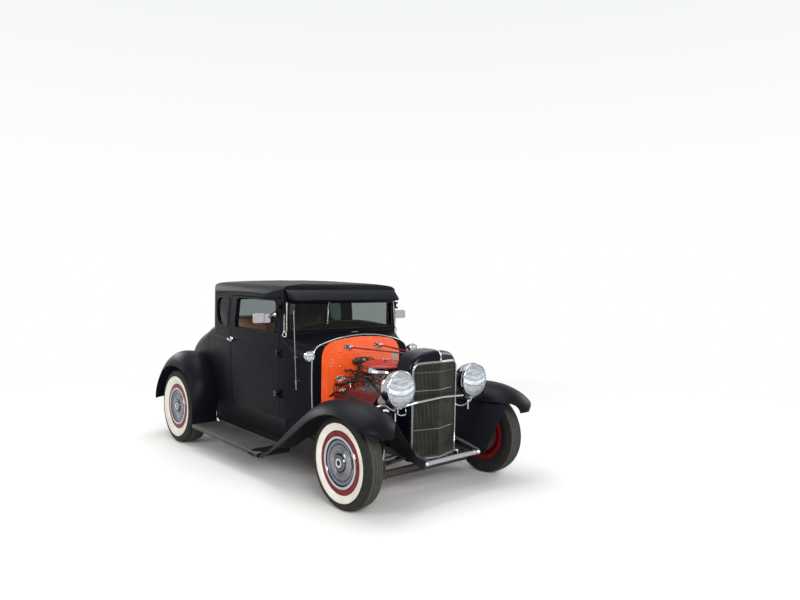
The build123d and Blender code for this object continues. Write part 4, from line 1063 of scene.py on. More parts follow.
def makePlugWires():
    capCentre = at(0, engine["distributorY"], engine["capTop"])
    turnedPiece(
        "distributorCap", [(46, -54), (46, -18), (42, -8), (38, -2), (24, 2), (12, 3), (0, 3), (0, -10),
        (40, -16), (43, -54)], facing(capCentre, upward), "darkPlastic", steps=40)
    towers, boots = [], []
    for sideName, side in sides:
        runs = []
        for k, y in enumerate(engine["plugRow"]):
            angle = math.radians(-70 + k * 46) if side > 0 else math.radians(250 - k * 46)
            top = capCentre + tipped((0.03 * math.cos(angle), 0.03 * math.sin(angle), 0.0))
            towers.append(facing(top, upward))
            rise = 0.05 + 0.012 * k
            plug = onBank(side, 104, y, 286)
            shelf = onBank(side, 78, y + 8, 324)
            over = at(side * (118 + 6 * k), 700 - 12 * k, 742 - 8 * k)
            loom = at(side * (268 + 4 * (k % 2)), min(y + 60, 716), 615 - 5 * k)
            runs.append([top, top + tipped((side * 0.012, 0, rise)), over, loom, shelf, plug])
            boots.append(facing(plug, bankAcross(side)))
        showPiece(line(f"plugWires_{sideName}", runs, 0.0038), "hoseRubber")
    turnedSet("distributorTowers", [(0, -6), (6.5, -6), (6.5, 16), (5, 19), (0, 19)], towers, "darkPlastic",
              14)
    turnedSet("sparkPlugBoots", [(0, -26), (9, -26), (9, -20), (6.5, -16), (6.5, 8), (8, 12), (8, 24),
                                 (5, 30), (0, 30)], boots, "hoseRubber", 16)
    centreWire = [capCentre + tipped((0, 0, 0.02)), capCentre + tipped((0.01, 0.01, 0.07)),
                  at(-60, 716, 892), at(-106, firewallFront - 32, 872)]
    showPiece(line("coilWire", centreWire, 0.0042), "hoseRubber")


def makeCarburettor():
    y = engine["carbY"]
    pieces = []
    for dx, dy, radius, low, high in (
            (-38, -52, 24, 716, 770), (38, -52, 24, 716, 770), (-60, 20, 15, 722, 752),
            (60, 30, 17, 726, 760), (0, 78, 20, 720, 748)):
        bowl = turned("bowl", [(0, low), (radius, low), (radius + 2, low + 4), (radius + 2, high - 8),
                               (radius - 3, high - 2), (0, high)], steps=28)
        bowl.data.transform(facing(at(dx, y + dy, 0), upward))
        pieces.append(bowl)
    showPiece(gather(pieces, "carburettorBowls"), "castAluminium")
    screws = [facing(at(dx, y + dy, 790), upward) for dx in (-48, 48) for dy in (-60, -20, 20, 60)]
    screws += [facing(at(dx, y + dy, 712), upward) for dx in (-57, 57) for dy in (-84, 84)]
    showPiece(boltHeads("carburettorScrews", screws, 9, 6), "dullChrome")
    linkage = [
        trace(1, (-66, y - 40, 742), (-74, y + 10, 752), (-70, y + 90, 748), (-66, y + 190, 770),
              (-58, firewallFront, 782)),
        trace(1, (-62, y - 30, 770), (-84, y - 10, 786), (-86, y + 70, 760), (-40, y + 120, 715))]
    showPiece(line("throttleLinkage", linkage, 0.003), "dullChrome")
    fuel = trace(1, (-92, 262, 520), (-118, 268, 600), (-112, 300, 694), (-70, 372, 742), (-52, 404, 748))
    showPiece(line("fuelLine", fuel, 0.0045), "dullChrome")
    turnedPiece("fuelFilter", [(0, 0), (5, 0), (13, 8), (13, 46), (5, 54), (0, 54)],
                facing(at(-115, 282, 640), tipped((0, 0.3, 1))), "chrome", steps=28)
    manifoldBolts = [facing(at(side * 118, yy, 661), tipped((side * 0.1, 0, 1))) for side in (-1, 1)
                     for yy in (290, 360, 585, 660)]
    showPiece(boltHeads("manifoldBolts", manifoldBolts, 13, 9), "dullChrome")


def makeAirCleanerTrim():
    place = facing(at(0, engine["carbY"], 0), upward)
    turnedPiece(
        "airCleanerBand", [(178.5, 819), (180.5, 820), (180.5, 824), (178.8, 826), (178.8, 852),
        (180.5, 854), (180.5, 857), (178.5, 857.5), (176, 857), (176, 819)], place, "chrome", steps=128,
        sharp=50)
    turnedPiece("airCleanerBase", [(122, 808), (176, 814.5), (182, 816), (182, 819), (176, 818.6),
                                   (122, 811.6)], place, "chrome", steps=96)
    turnedPiece("airCleanerLidBead", [(148, 880.5), (150, 883), (153, 883), (156, 879), (152, 878)], place,
                "lidRed", steps=96)
    turnedPiece("airCleanerNut", [(0, 897), (9, 897), (11, 900), (11, 905), (7, 909), (0, 910)], place,
                "chrome", steps=32)
    outline = [(-26, 0), (-20, 13), (-10, 6), (10, 6), (20, 13), (26, 0), (12, -4), (-12, -4)]
    wings = slab("airCleanerWings", outline, 4, facing(at(0, engine["carbY"] - 2, 903), forward), 1.2)
    showPiece(wings, "chrome")


def makeCooling():
    hoses = [trace(1, (0, 268, 672), (-10, 225, 716), (-46, 130, 810), (-80, 70, 890), (-92, 44, 925)),
             trace(1, (110, 200, 455), (150, 150, 430), (168, 90, 420), (172, 42, 420))]
    for name, run in zip(("radiatorHoseTop", "radiatorHoseLow"), hoses):
        showPiece(line(name, run, 0.022, sides=5), "hoseRubber")
        ends = [facing(here + (there - here).normalized() * 0.012, there - here)
                for here, there in ((run[0], run[1]), (run[-1], run[-2]))]
        turnedSet(name + "Clamps", [(22.4, 0), (24, 0), (24, 12), (22.4, 12)], ends, "dullChrome", 36)
    turnedPiece(
        "waterOutlet", [(0, -30), (44, -30), (46, -24), (46, -18), (30, -10), (24, 8), (23, 20), (0, 20)],
        facing(at(0, 276, 664), tipped((0, -0.35, 1))), "chrome", steps=36)
    beltY = 150
    belt = []
    for centre, radius, start in ((560, 79, 0), (385, 82, math.pi)):
        for k in range(17):
            angle = start + math.pi * k / 16
            belt.append(at(radius * math.cos(angle), beltY, centre + radius * math.sin(angle)))
    showPiece(line("fanBelt", belt, 0.0065, cyclic=True, straight=True), "hoseRubber")
    turnedPiece("crankPulley", [(0, 0), (60, 0), (78, 2), (84, 4), (84, 8), (76, 14), (84, 20), (84, 25),
                                (0, 25)], facing(at(0, 163, 385), forward), "bareSteel", steps=56)
    turnedPiece(
        "alternatorPulley", [(0, 0), (30, 0), (34, 3), (28, 9), (34, 15), (34, 18), (12, 20), (12, 26),
        (0, 26)], facing(at(-205, 150, 628), forward), "chrome", steps=40)
    showPiece(
        boltHeads("alternatorStuds", [facing(at(-205 + 44 * math.cos(a), 150, 628 + 44 * math.sin(a)),
        forward) for a in (0.4, 1.97, 3.54, 5.1)], 9, 6), "dullChrome")
    turnedPiece("radiatorCap", [(0, 0), (26, 0), (30, 3), (30, 9), (26, 13), (10, 16), (0, 16)],
                facing(at(0, 18, 1000), upward), "chrome", steps=48)
    fins = [[at(x, -41, z) for x in (-200, 200)] for z in range(375, 955, 12)]
    showPiece(line("radiatorFins", fins, 0.0016, straight=True, sides=1), "chassisBlack")


def makeHoses():
    looms = [
        trace(1, (-205, 236, 640), (-215, 300, 700), (-150, 430, 780), (-140, 600, 800), (-190, 740, 800)),
        trace(1, (-150, 330, 664), (-170, 420, 730), (-190, 560, 742), (-240, 700, 700),
              (-268, firewallFront, 690)),
        trace(1, (-90, 500, 716), (-130, 560, 760), (-150, 650, 770), (-120, firewallFront, 800)),
        trace(1, (140, 320, 664), (176, 420, 720), (190, 600, 730), (170, firewallFront, 770)),
        trace(1, (-246, 262, 470), (-282, 330, 560), (-300, 520, 640), (-312, 690, 640),
              (-318, firewallFront, 600))]
    for k, (run, radius) in enumerate(zip(looms, (0.007, 0.0095, 0.006, 0.008, 0.0085))):
        showPiece(line(f"engineHose_{k + 1}", run, radius, sides=4), "hoseRubber")
    fine = []
    for k in range(7):
        start = at(-60 - 22 * k, 380 + 40 * k, 690 + 6 * (k % 3))
        fine.append([start, start + tipped((-0.03, 0.05, 0.06 - 0.01 * (k % 2))), start
                     + tipped((-0.07 - 0.01 * (k % 3), 0.13, 0.05)), at(-150 - 24 * k, 752, 735 - 22 * k)])
    showPiece(line("wiringLoom", fine, 0.0032), "hoseRubber")
    showPiece(line("dipstick", trace(1, (-120, 560, 500), (-206, 600, 620), (-214, 640, 726),
                                     (-200, 652, 742), (-190, 648, 730)), 0.003), "dullChrome")


makeCoverTrim()
makePlugWires()
makeCarburettor()
makeAirCleanerTrim()
makeCooling()
makeHoses()
print("engine dressed")

# body trim
bodyParts = {
    "beltLines": (978, 1001),
    "railStations": [(1092, 1378), (1250, 1390), (1450, 1397), (1900, 1397), (2080, 1388), (2160, 1380)],
    "doorWindow": ((1140, 1752), (1090, 1345)), "quarter": ((1898, 2128), (1092, 1338)),
    "screen": ((-548, 548), (1096, 1345)),
}


def roundedLoop(low, high, bottom, top, radii, grow=0.0, steps=5):
    radii = [r + grow for r in radii]
    low, high, bottom, top = low - grow, high + grow, bottom - grow, top + grow
    loop = []
    for (cx, cy, start), r in zip(
            ((low, bottom, 180), (high, bottom, 270), (high, top, 0), (low, top, 90)), radii):
        x = cx + (r if cx == low else -r)
        y = cy + (r if cy == bottom else -r)
        for k in range(steps + 1):
            angle = math.radians(start + 90 * k / steps)
            loop.append((x + r * math.cos(angle), y + r * math.sin(angle)))
    return loop


def dense(points, gap=40.0):  # extra points along a closed loop
    out = []
    for k, (x, y) in enumerate(points):
        nx, ny = points[(k + 1) % len(points)]
        count = max(1, int(math.hypot(nx - x, ny - y) / gap))
        out += [(x + (nx - x) * j / count, y + (ny - y) * j / count) for j in range(count)]
    return out


def makeBelts():
    for sideName, side in sides:
        pieces = (
            ("body", "cowl", 790, 1062, "cowl"),
            (f"door_{sideName}", f"door_{sideName}", 1080, 1846, "door"),
            ("body", "rear_body", 1866, 2336, "quarter"))
        for body, node, start, end, label in pieces:
            tree = treeOf(node)
            runs = []
            for z in bodyParts["beltLines"]:
                stations = [(start + (end - start) * k / 24, z) for k in range(25)]
                runs.append(sideRun(tree, side, stations, 0.0))
            showPiece(line(f"beltBead_{label}_{sideName}", runs, 0.0035, straight=True, sides=2),
                      "satinBlack", body)


def makeRails():
    roofTree = treeOf("roof")
    for sideName, side in sides:
        run = sideRun(roofTree, side, bodyParts["railStations"], 0.002)
        showPiece(line(f"dripRail_{sideName}", run, 0.0052), "satinBlack")
        showPiece(line(f"dripRailLip_{sideName}", [p + Vector((side * 0.005, 0, 0.003)) for p in run],
                       0.0022), "satinBlack")
        (y0, y1), (z0, z1) = bodyParts["quarter"]
        loop = dense(roundedLoop(y0, y1, z0, z1, (30, 110, 60, 30), 5))
        showPiece(line(f"quarterReveal_{sideName}", sideRun(roofTree, side, loop, 0.001), 0.0042,
                       cyclic=True, straight=True), "satinBlack")
    ribs = [hitsFrom(roofTree, [(at(x, 1080 + k * 82, 1900), downward) for k in range(15)], -0.0028)
            for x in (-330, -165, 0, 165, 330)]
    showPiece(line("roofSeams", ribs, 0.0046, straight=True, sides=3), "satinBlack")
    backLoop = dense(roundedLoop(-330, 330, 1135, 1305, (40, 40, 40, 40), 6))
    back = frontRun(roofTree, backLoop, 0.001, start=2900, way=-1)
    showPiece(line("rearWindowReveal", back, 0.0045, cyclic=True, straight=True), "hoseRubber")


def makeScreenTrim():
    frameTree = treeOf("windshield_frame", "roof")
    (x0, x1), (z0, z1) = bodyParts["screen"]
    for name, grow, radius, look in (
            ("screenReveal", -14, 4.0, "hoseRubber"), ("screenFrameBead", -4, 2.6, "shellBlack")):
        run = frontRun(frameTree, dense(roundedLoop(x0, x1, z0, z1, (20, 20, 20, 20), grow)), 0.001)
        showPiece(line(name, run, radius / 1000, cyclic=True, straight=True), look, slot="black_paint")
    for sideName, side in sides:
        outer = sideRun(frameTree, side, [(1034, z) for z in (1335, 1290, 1240, 1190, 1140, 1105)], 0.003)
        post = outer + [at(side * 598, 1026, 1074), at(side * 578, 1012, 1066)]
        edge = ((570, 1084), (568, 1110), (566, 1160), (563, 1230), (560, 1300), (557, 1335))
        inner = frontRun(frameTree, [(side * x, z) for x, z in edge], 0.003)
        showPiece(line(f"screenPost_{sideName}", post + inner, 0.006), "dullChrome")
    wiperTree = treeOf("windshield_frame", "fixed_glass")
    arm = frontRun(wiperTree, ((-150, 1338), (-152, 1300), (-158, 1230), (-166, 1150)), 0.006)
    showPiece(line("wiperArm", arm, 0.003), "dullChrome")


def makeDoorTrim():
    for sideName, side in sides:
        body = f"door_{sideName}"
        tree = treeOf(body)
        (y0, y1), (z0, z1) = bodyParts["doorWindow"]
        loop = dense(roundedLoop(y0, y1, z0, z1, (30, 30, 30, 30), 5))
        showPiece(line(f"doorReveal_{sideName}", sideRun(tree, side, loop, 0.001), 0.004, cyclic=True,
                       straight=True), "satinBlack", body)
        showPiece(
            line(f"doorHandle_{sideName}", trace(side, (640, 1828, 978), (664, 1828, 978), (670, 1822, 978),
            (670, 1790, 975), (670, 1742, 969)), 0.0112), "chrome", body)
        rose = turned(f"doorHandleRose_{sideName}", [(0, 0), (24, 0), (25, 3), (18, 8), (12, 14), (11, 26),
                                                     (0, 26)], steps=40)
        spot = hitFrom(tree, at(side * 1000, 1828, 965), (-side, 0, 0), -0.001)
        rose.matrix_world = facing(Vector((spot.x, at(0, 1828, 978).y, at(0, 1828, 978).z)), (side, 0, 0))
        showPiece(rose, "chrome", body)
        showPiece(slab(f"mirrorShell_{sideName}", roundedBox(155, 78, 17), 12,
                       facing(at(side * 722.5, 1147, 1207), forward), 3), "chrome", body)
        showPiece(slab(f"mirrorFace_{sideName}", roundedBox(144, 67, 12), 2,
                       facing(at(side * 722.5, 1148.2, 1207), rearward), 0.5), "chrome", body)
        showPiece(line(f"mirrorArm_{sideName}", trace(side, (606, 1132, 1233), (640, 1138, 1224),
                                                      (668, 1141, 1214)), 0.0072), "chrome", body)
        foot = turned(f"mirrorFoot_{sideName}", [(0, -4), (20, -4), (20, 3), (13, 8), (9, 14), (0, 14)],
                      steps=32)
        spot = hitFrom(tree, at(side * 1000, 1131, 1236), (-side, 0, 0), 0.0)
        if spot is not None:
            foot.matrix_world = facing(spot, (side, 0.15, 0))
            showPiece(foot, "chrome", body)
        straps = []
        for z in (603, 926):
            spot = hitFrom(tree, at(side * 1000, 1102, z), (-side, 0, 0), 0.0)
            place = facing(spot - Vector((side * 0.001, 0, 0)), (side, 0, 0))
            strap = slab("strap", roundedBox(34, 44, 5), 5, place, 1.5)
            straps.append(strap)
        showPiece(gather(straps, f"hingeStraps_{sideName}"), "chassisBlack", body, slot="black_paint")
        edgeRun = sideRun(tree, side, [(1838, z) for z in (430, 560, 700, 840, 960, 1060)], 0.0005)
        showPiece(line(f"doorEdgeFold_{sideName}", edgeRun, 0.0016, sides=1), "satinBlack", body)


def lowestHit(tree, makeStart, direction, zHigh, zLow, accept):  # halves the way down to the last hit
    if not accept(hitFrom(tree, makeStart(zHigh), direction)):
        return None
    for step in range(14):
        middle = (zHigh + zLow) / 2
        if accept(hitFrom(tree, makeStart(middle), direction)):
            zHigh = middle
        else:
            zLow = middle
    return hitFrom(tree, makeStart(zHigh), direction)


def makeFenderLips():
    frontTree, rearTree = treeOf("front_fenders"), treeOf("rear_fenders")
    for sideName, side in sides:
        def outside(spot):
            return spot is not None and spot.x * side > 0.79

        run = []
        for k in range(46):
            y = -285 + k * 28
            top = 735 - 0.0009 * y * y if y < 300 else 700 - (y - 300) * 0.72
            spot = lowestHit(frontTree, lambda z: at(side * 1100, y, z), (-side, 0, 0), top - 60, top - 420,
                             outside)
            if spot is not None:
                run.append(spot - Vector((side * 0.0046, 0, 0)))
        showPiece(line(f"frontFenderLip_{sideName}", run, 0.0048, straight=True), "satinBlack")
        run = []
        for k in range(40):
            y = 2245 + k * 24
            top = 790 - 0.0011 * (y - 2600) ** 2
            spot = lowestHit(rearTree, lambda z: at(side * 1100, y, z), (-side, 0, 0), top - 70, top - 600,
                             outside)
            if spot is not None:
                run.append(spot - Vector((side * 0.0046, 0, 0)))
        showPiece(line(f"rearFenderLip_{sideName}", run, 0.0048, straight=True), "satinBlack")


def makeBoardTrim():
    for sideName, side in sides:
        mat = []
        for k in range(21):
            x = side * (560 + k * 12)
            mat.append([at(x, 1158, 166.6), at(x, 2200, 166.6)])
        showPiece(line(f"boardRibs_{sideName}", mat, 0.0022, straight=True, sides=1), "boardRubber")
        showPiece(line(f"boardEdge_{sideName}", [at(side * 820.5, 1130, 151), at(side * 820.5, 2205, 151)],
                       0.0065, straight=True), "shellBlack")
        bolts = [facing(at(side * 536, y, 166), upward) for y in (1150, 1400, 1650, 1900, 2140)]
        showPiece(boltHeads(f"boardBolts_{sideName}", bolts, 12, 5), "chassisBlack", slot="bare_steel")


def makeFenderToes():  # the fender's end laid over the running board
    outline = [
        (526, -11.8), (560, -7.2), (600, -3.4), (645, -0.9), (690, 0), (715, -1.5), (745, -7.4),
        (770, -15.4), (790, -24.1), (804, -31), (812, -35.6), (817, -38.8), (820, -40.8), (821.6, -41.8)]
    flat = [(526, 0), (560, 0), (600, 0), (645, 0), (690, 0), (715, 0), (745, 0), (770, 0), (790, -0.2),
            (804, -1.2), (813, -4.6), (819, -11), (821.5, -20), (821.8, -33.5)]
    rows = 14
    for sideName, side in sides:
        points = []
        for k in range(rows):
            share = k / (rows - 1)
            y = 1004 + 148 * share
            ease = min(share * 1.5, 1.0)
            ease = ease * ease * (3 - 2 * ease)
            for (fx, fz), (bx, bz) in zip(outline, flat):
                z = (182.6 - 12 * share + fz) * (1 - ease) + (168.2 + bz) * ease
                points.append(at(side * (fx + (bx - fx) * ease), y, z))
        faces = gridFaces(rows, len(outline))
        if side > 0:
            faces = [face[::-1] for face in faces]
        toe = meshPiece(f"frontFenderToe_{sideName}", points, faces)
        showPiece(thickened(toe, 0.0016, 1.0), "satinBlack")


def makeApronNoses():  # closes the side between the sill and the front fender's inner edge
    fenderTree = treeOf("front_fenders")
    for sideName, side in sides:
        points = []
        stations = [762 + 16 * k for k in range(17)]
        for y in stations:
            foot = None
            for x in range(488, 575, 2):
                foot = hitFrom(fenderTree, at(side * x, y, 640), downward, 0.0)
                if foot is not None and foot.z < at(0, y, 430).z:
                    foot = hitFrom(fenderTree, at(side * (x + 5), y, 640), downward, -0.001)
                    break
                foot = None
            top = at(side * (454 + (y - 762) * (566 - 454) / 255), y, 403)
            if foot is None:
                foot = top + tipped((0, 0, -0.08))
            inward = Vector((-side * 0.004, 0, 0))
            points += [top, foot, foot + inward, top + inward]
        faces = boxFaces(len(stations))
        faces += [(0, 1, 2, 3), tuple(4 * (len(stations) - 1) + j for j in (3, 2, 1, 0))]
        nose = meshPiece(f"apronNose_{sideName}", points, faces)
        nose.data.set_sharp_from_angle(angle=math.radians(40))
        showPiece(nose, "satinBlack")


def makeVisor():  # one pressed sheet, rolled down at the front and round its ends
    columns, rows = 61, 11
    visor = {"half": 566, "root": 1052, "lip": 932, "high": 1433, "low": 1352, "corner": 62, "sheet": 0.007}
    points, lip = [], []
    for k in range(columns):
        x = -visor["half"] + 2 * visor["half"] * k / (columns - 1)
        past = max(abs(x) - (visor["half"] - visor["corner"]), 0) / visor["corner"]
        back = visor["corner"] * (1 - math.sqrt(max(1 - past ** 2, 0)))
        for j in range(rows):
            share = j / (rows - 1)
            y = visor["root"] - (visor["root"] - visor["lip"] - back) * share
            z = visor["high"] - (visor["high"] - visor["low"]) * share ** 1.55 * (1 - 0.25 * past ** 3)
            points.append(at(x, y, z))
        lip.append(at(x, visor["lip"] + back, z - 3))
    sheet = thickened(meshPiece("visorSheet", points, gridFaces(columns, rows)), visor["sheet"], 1.0)
    showPiece(rounded(sheet, 0.0022), "satinBlack")
    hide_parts("sun_visor")
    showPiece(line("visorLip", lip, 0.0046, straight=True), "satinBlack")


def makeRearTrim():
    handle = turned("deckHandle", [(0, 0), (18, 0), (19, 3), (12, 8), (9, 22), (0, 22)], steps=36)
    lidTree = treeOf("decklid")
    spot = hitFrom(lidTree, at(0, 2925, 1400), downward, 0.0)
    if spot is not None:
        handle.matrix_world = facing(spot, tipped((0, 0.7, 0.7)))
        showPiece(handle, "chrome", "decklid")
        showPiece(line("deckHandleGrip", [spot + tipped((x, 0.016, 0.016))
                                          for x in (-0.06, -0.02, 0.02, 0.06)], 0.008), "chrome", "decklid")
    for sideName, side in sides:
        place = facing(at(side * 300, 3183, 470), rearward)
        turnedPiece(f"tailLens_{sideName}", [(41, -1), (40, 4), (34, 8), (22, 11.5), (0, 13), (0, 8),
                                             (22, 7), (38, 1)], place, "tailRed", steps=48)
        turnedPiece(f"tailRim_{sideName}", [(41, 1), (44, 5), (48, 4), (49.5, 0), (49.5, -6), (48.2, -6),
                                            (46, -1)], place, "chrome", steps=64)
    showPiece(slab("rearPlateHolder", roundedBox(310, 158, 10), 3, facing(at(0, 3150, 520), rearward), 1),
              "shellBlack")


def makeFrontBrackets():
    for sideName, side in sides:
        showPiece(
            line(f"lampStay_{sideName}", trace(side, (548, -70, 668), (525, -92, 684), (480, -98, 690),
            (440, -99, 668), (408, -100, 648), (370, -103, 646)), 0.0075), "chrome")
        turnedPiece(
            f"lampPost_{sideName}", [(0, -42), (13, -42), (16, -36), (16, -30), (11, -24), (10, 4), (17, 8),
            (22, 16), (16, 26), (0, 28)], facing(at(side * 370, -106, 672), upward), "chrome", steps=36)
        showPiece(
            boltHeads(f"lampNuts_{sideName}", [facing(at(side * 370, -106, 630), downward),
            facing(at(side * 430, -76, 640), forward)], 20, 12), "chrome")
        showPiece(
            line(f"lampConduit_{sideName}", trace(side, (366, -92, 640), (352, -95, 612), (310, -96, 598),
            (262, -80, 602), (236, -50, 622)), 0.0055), "chrome")


makeBelts()
makeRails()
makeScreenTrim()
makeDoorTrim()
makeFenderLips()
makeBoardTrim()
makeFenderToes()
makeApronNoses()
makeVisor()
makeRearTrim()
makeFrontBrackets()
print("body trimmed")

# cabin
cabin = {
    "cushion": dict(centre=(0, 1785, 640), size=(1040, 510, 160), turn=0,
        channels=(-347, -173, 0, 173, 347)),
    "backrest": dict(centre=(0, 2100, 940), size=(1040, 130, 440), turn=-12,
        channels=(-347, -173, 0, 173, 347)),
    "channelDepth": 0.012, "frames": 20, "pressure": 4.0, "cap": 0.020,
}


def cushionBlank(name, spec, stepsX=52, stepsY=26, stepsZ=9):  # crowned block, sides pulled in, metres
    sx, sy, sz = (v / 2000 for v in spec["size"])
    points, faces, index = [], [], {}

    def put(i, j, k):
        key = (i, j, k)
        if key not in index:
            u, v, w = 2 * i / stepsX - 1, 2 * j / stepsY - 1, 2 * k / stepsZ - 1
            pull = 1 - 0.030 * (1 - abs(w)) * max(abs(u), abs(v)) ** 6
            x, y = u * sx * pull, v * sy * pull
            z = w * sz * (1 - 0.20 * max(abs(u), abs(v)) ** 8)
            corner = max(0.0, abs(u) + abs(v) - 1.72)
            x -= math.copysign(corner * 0.05, u)
            y -= math.copysign(corner * 0.05, v)
            index[key] = len(points)
            points.append((x, y, z))
        return index[key]

    for i in range(stepsX):
        for j in range(stepsY):
            faces.append((put(i, j, stepsZ), put(i + 1, j, stepsZ), put(i + 1, j + 1, stepsZ),
                          put(i, j + 1, stepsZ)))
            faces.append((put(i, j, 0), put(i, j + 1, 0), put(i + 1, j + 1, 0), put(i + 1, j, 0)))
    for k in range(stepsZ):
        for i in range(stepsX):
            faces.append((put(i, 0, k), put(i + 1, 0, k), put(i + 1, 0, k + 1), put(i, 0, k + 1)))
            faces.append((put(i, stepsY, k), put(i, stepsY, k + 1), put(i + 1, stepsY, k + 1),
                          put(i + 1, stepsY, k)))
        for j in range(stepsY):
            faces.append((put(0, j, k), put(0, j, k + 1), put(0, j + 1, k + 1), put(0, j + 1, k)))
            faces.append((put(stepsX, j, k), put(stepsX, j + 1, k), put(stepsX, j + 1, k + 1),
                          put(stepsX, j, k + 1)))
    return meshPiece(name, points, faces)


def puffed(item):  # a cloth run with inside pressure, kept near the blank
    scene = bpy.context.scene
    scene.collection.objects.link(item)
    before = [v.co.copy() for v in item.data.vertices]
    cloth = item.modifiers.new("stuffing", "CLOTH")
    cloth.settings.quality = 5
    cloth.settings.mass = 0.3
    cloth.settings.use_pressure = True
    cloth.settings.uniform_pressure_force = cabin["pressure"]
    cloth.settings.effector_weights.gravity = 0
    cloth.settings.tension_stiffness = cloth.settings.compression_stiffness = 15
    cloth.point_cache.frame_start = 1
    cloth.point_cache.frame_end = cabin["frames"]
    for number in range(1, cabin["frames"] + 1):
        scene.frame_set(number)
    graph = bpy.context.evaluated_depsgraph_get()
    solved = item.evaluated_get(graph).to_mesh()
    places = [v.co.copy() for v in solved.vertices]
    item.evaluated_get(graph).to_mesh_clear()
    item.modifiers.remove(cloth)
    for vertex, start, end in zip(item.data.vertices, before, places):
        move = end - start
        if move.length > cabin["cap"]:
            move = move.normalized() * cabin["cap"]
        vertex.co = start + move
    scene.frame_set(1)


def sewn(item, spec):  # press the sewn channels and a border into the top and bottom skin
    sx, sy, sz = (v / 2000 for v in spec["size"])
    for vertex in item.data.vertices:
        x, y, z = vertex.co
        depth = 0.0
        if abs(y) < sy - 0.045:
            for channel in spec["channels"]:
                depth = max(depth, math.exp(-((x - channel / 1000) / 0.011) ** 2))
        border = abs(max(abs(x) - (sx - 0.055), abs(y) - (sy - 0.055)))
        depth = max(depth, 0.8 * math.exp(-(border / 0.010) ** 2))
        vertex.co.z -= math.copysign(depth * cabin["channelDepth"] * min(1.0, abs(z) / (0.6 * sz)), z)


def keepInside(item, spec):
    sx, sy, sz = (v / 2000 for v in spec["size"])
    for vertex in item.data.vertices:
        vertex.co.x = max(-sx - 0.006, min(sx + 0.006, vertex.co.x))
        vertex.co.y = max(-sy - 0.010, min(sy + 0.010, vertex.co.y))
        vertex.co.z = max(-sz - 0.002, min(sz + 0.022, vertex.co.z))


def makeSeat():
    for part in ("cushion", "backrest"):
        spec = cabin[part]
        turned90 = Matrix.Rotation(math.radians(90), 4, "X") if part == "backrest" else Matrix.Identity(4)
        local = dict(spec)
        if part == "backrest":  # thickness becomes the local height
            local["size"] = (spec["size"][0], spec["size"][2], spec["size"][1])
        item = cushionBlank("seatCushion" if part == "cushion" else "seatBackrest", local)
        puffed(item)
        keepInside(item, local)
        sewn(item, local)
        lean = Matrix.Rotation(math.radians(spec["turn"]), 4, "X")
        place = Matrix.Translation(at(*spec["centre"])) @ Matrix.Rotation(rake, 4, "X") @ lean @ turned90
        item.data.transform(place)
        showPiece(softened(item), "seatLeather")
        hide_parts("seat")
        sx, sy, sz = (v / 2000 for v in local["size"])
        cord = []
        for x, y in dense(roundedLoop(-sx, sx, -sy, sy, (0.06,) * 4), 0.06):
            cord.append(place @ Vector((x * 0.985, y * 0.972, sz * 0.80)))
        showPiece(line(f"{item.name}Piping", cord, 0.0045, cyclic=True, straight=True), "doorTrim")
    base = slab("seatBase", roundedBox(1000, 440, 14), 143, facing(at(0, 1795, 417), upward), 4)
    showPiece(base, "doorTrim")
    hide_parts("seat")


def makeDash():
    outline = [(-500, 0), (-470, 58), (-300, 92), (0, 104), (300, 92), (470, 58), (500, 0), (480, -60),
               (-480, -60)]
    showPiece(slab("dashPanel", outline, 6, facing(at(0, 1066, 1012), rearward), 3), "shellBlack")
    top = [at(x, 1072, 1108 + 62 * (1 - (x / 520) ** 2)) for x in range(-500, 501, 50)]
    showPiece(line("dashTopRoll", top, 0.011, straight=True, sides=4), "paleGold")
    padPoints = []
    for x in range(-500, 501, 50):
        rise = 62 * (1 - (x / 520) ** 2)
        padPoints += trace(1, (x, 1070, 1060), (x, 1070, 1104 + rise), (x, 1076, 1104 + rise),
                           (x, 1076, 1060))
    showPiece(meshPiece("dashUpperPad", padPoints, boxFaces(21)), "darkPlastic", slot="seat_cover")
    for k, (x, radius) in enumerate(((-110, 36), (0, 52), (110, 36))):
        place = facing(at(x, 1072.5, 1040), rearward)
        turnedPiece(f"gaugeFace_{k + 1}", [(0, 1), (radius - 4, 1), (radius - 4, 0), (0, 0)], place,
                    "dialFace", steps=40)
        turnedPiece(f"gaugeRim_{k + 1}", [(radius - 5, 1), (radius - 4, 5), (radius, 6), (radius + 3, 3),
                                          (radius + 3, 0), (radius - 4, 0)], place, "chrome", steps=48)
        ticks = []
        for t in range(11):
            angle = math.radians(-130 + 26 * t)
            direction = Vector((math.sin(angle), math.cos(angle), 0))
            ticks.append([place @ (direction * (radius - 7) / 1000 + Vector((0, 0, 0.0016))),
                          place @ (direction * (radius - 13) / 1000 + Vector((0, 0, 0.0016)))])
        ticks.append([place @ Vector((0, 0, 0.003)), place @ Vector((-0.6 * radius / 1000,
                                                                     0.35 * radius / 1000, 0.003))])
        showPiece(line(f"gaugeMarks_{k + 1}", ticks, 0.0009, straight=True, sides=1), "darkPlastic")
    knobs = [facing(at(x, 1072, 985), rearward) for x in (-230, -180, 180, 230)]
    showPiece(boltHeads("dashKnobs", knobs, 20, 18), "darkPlastic")


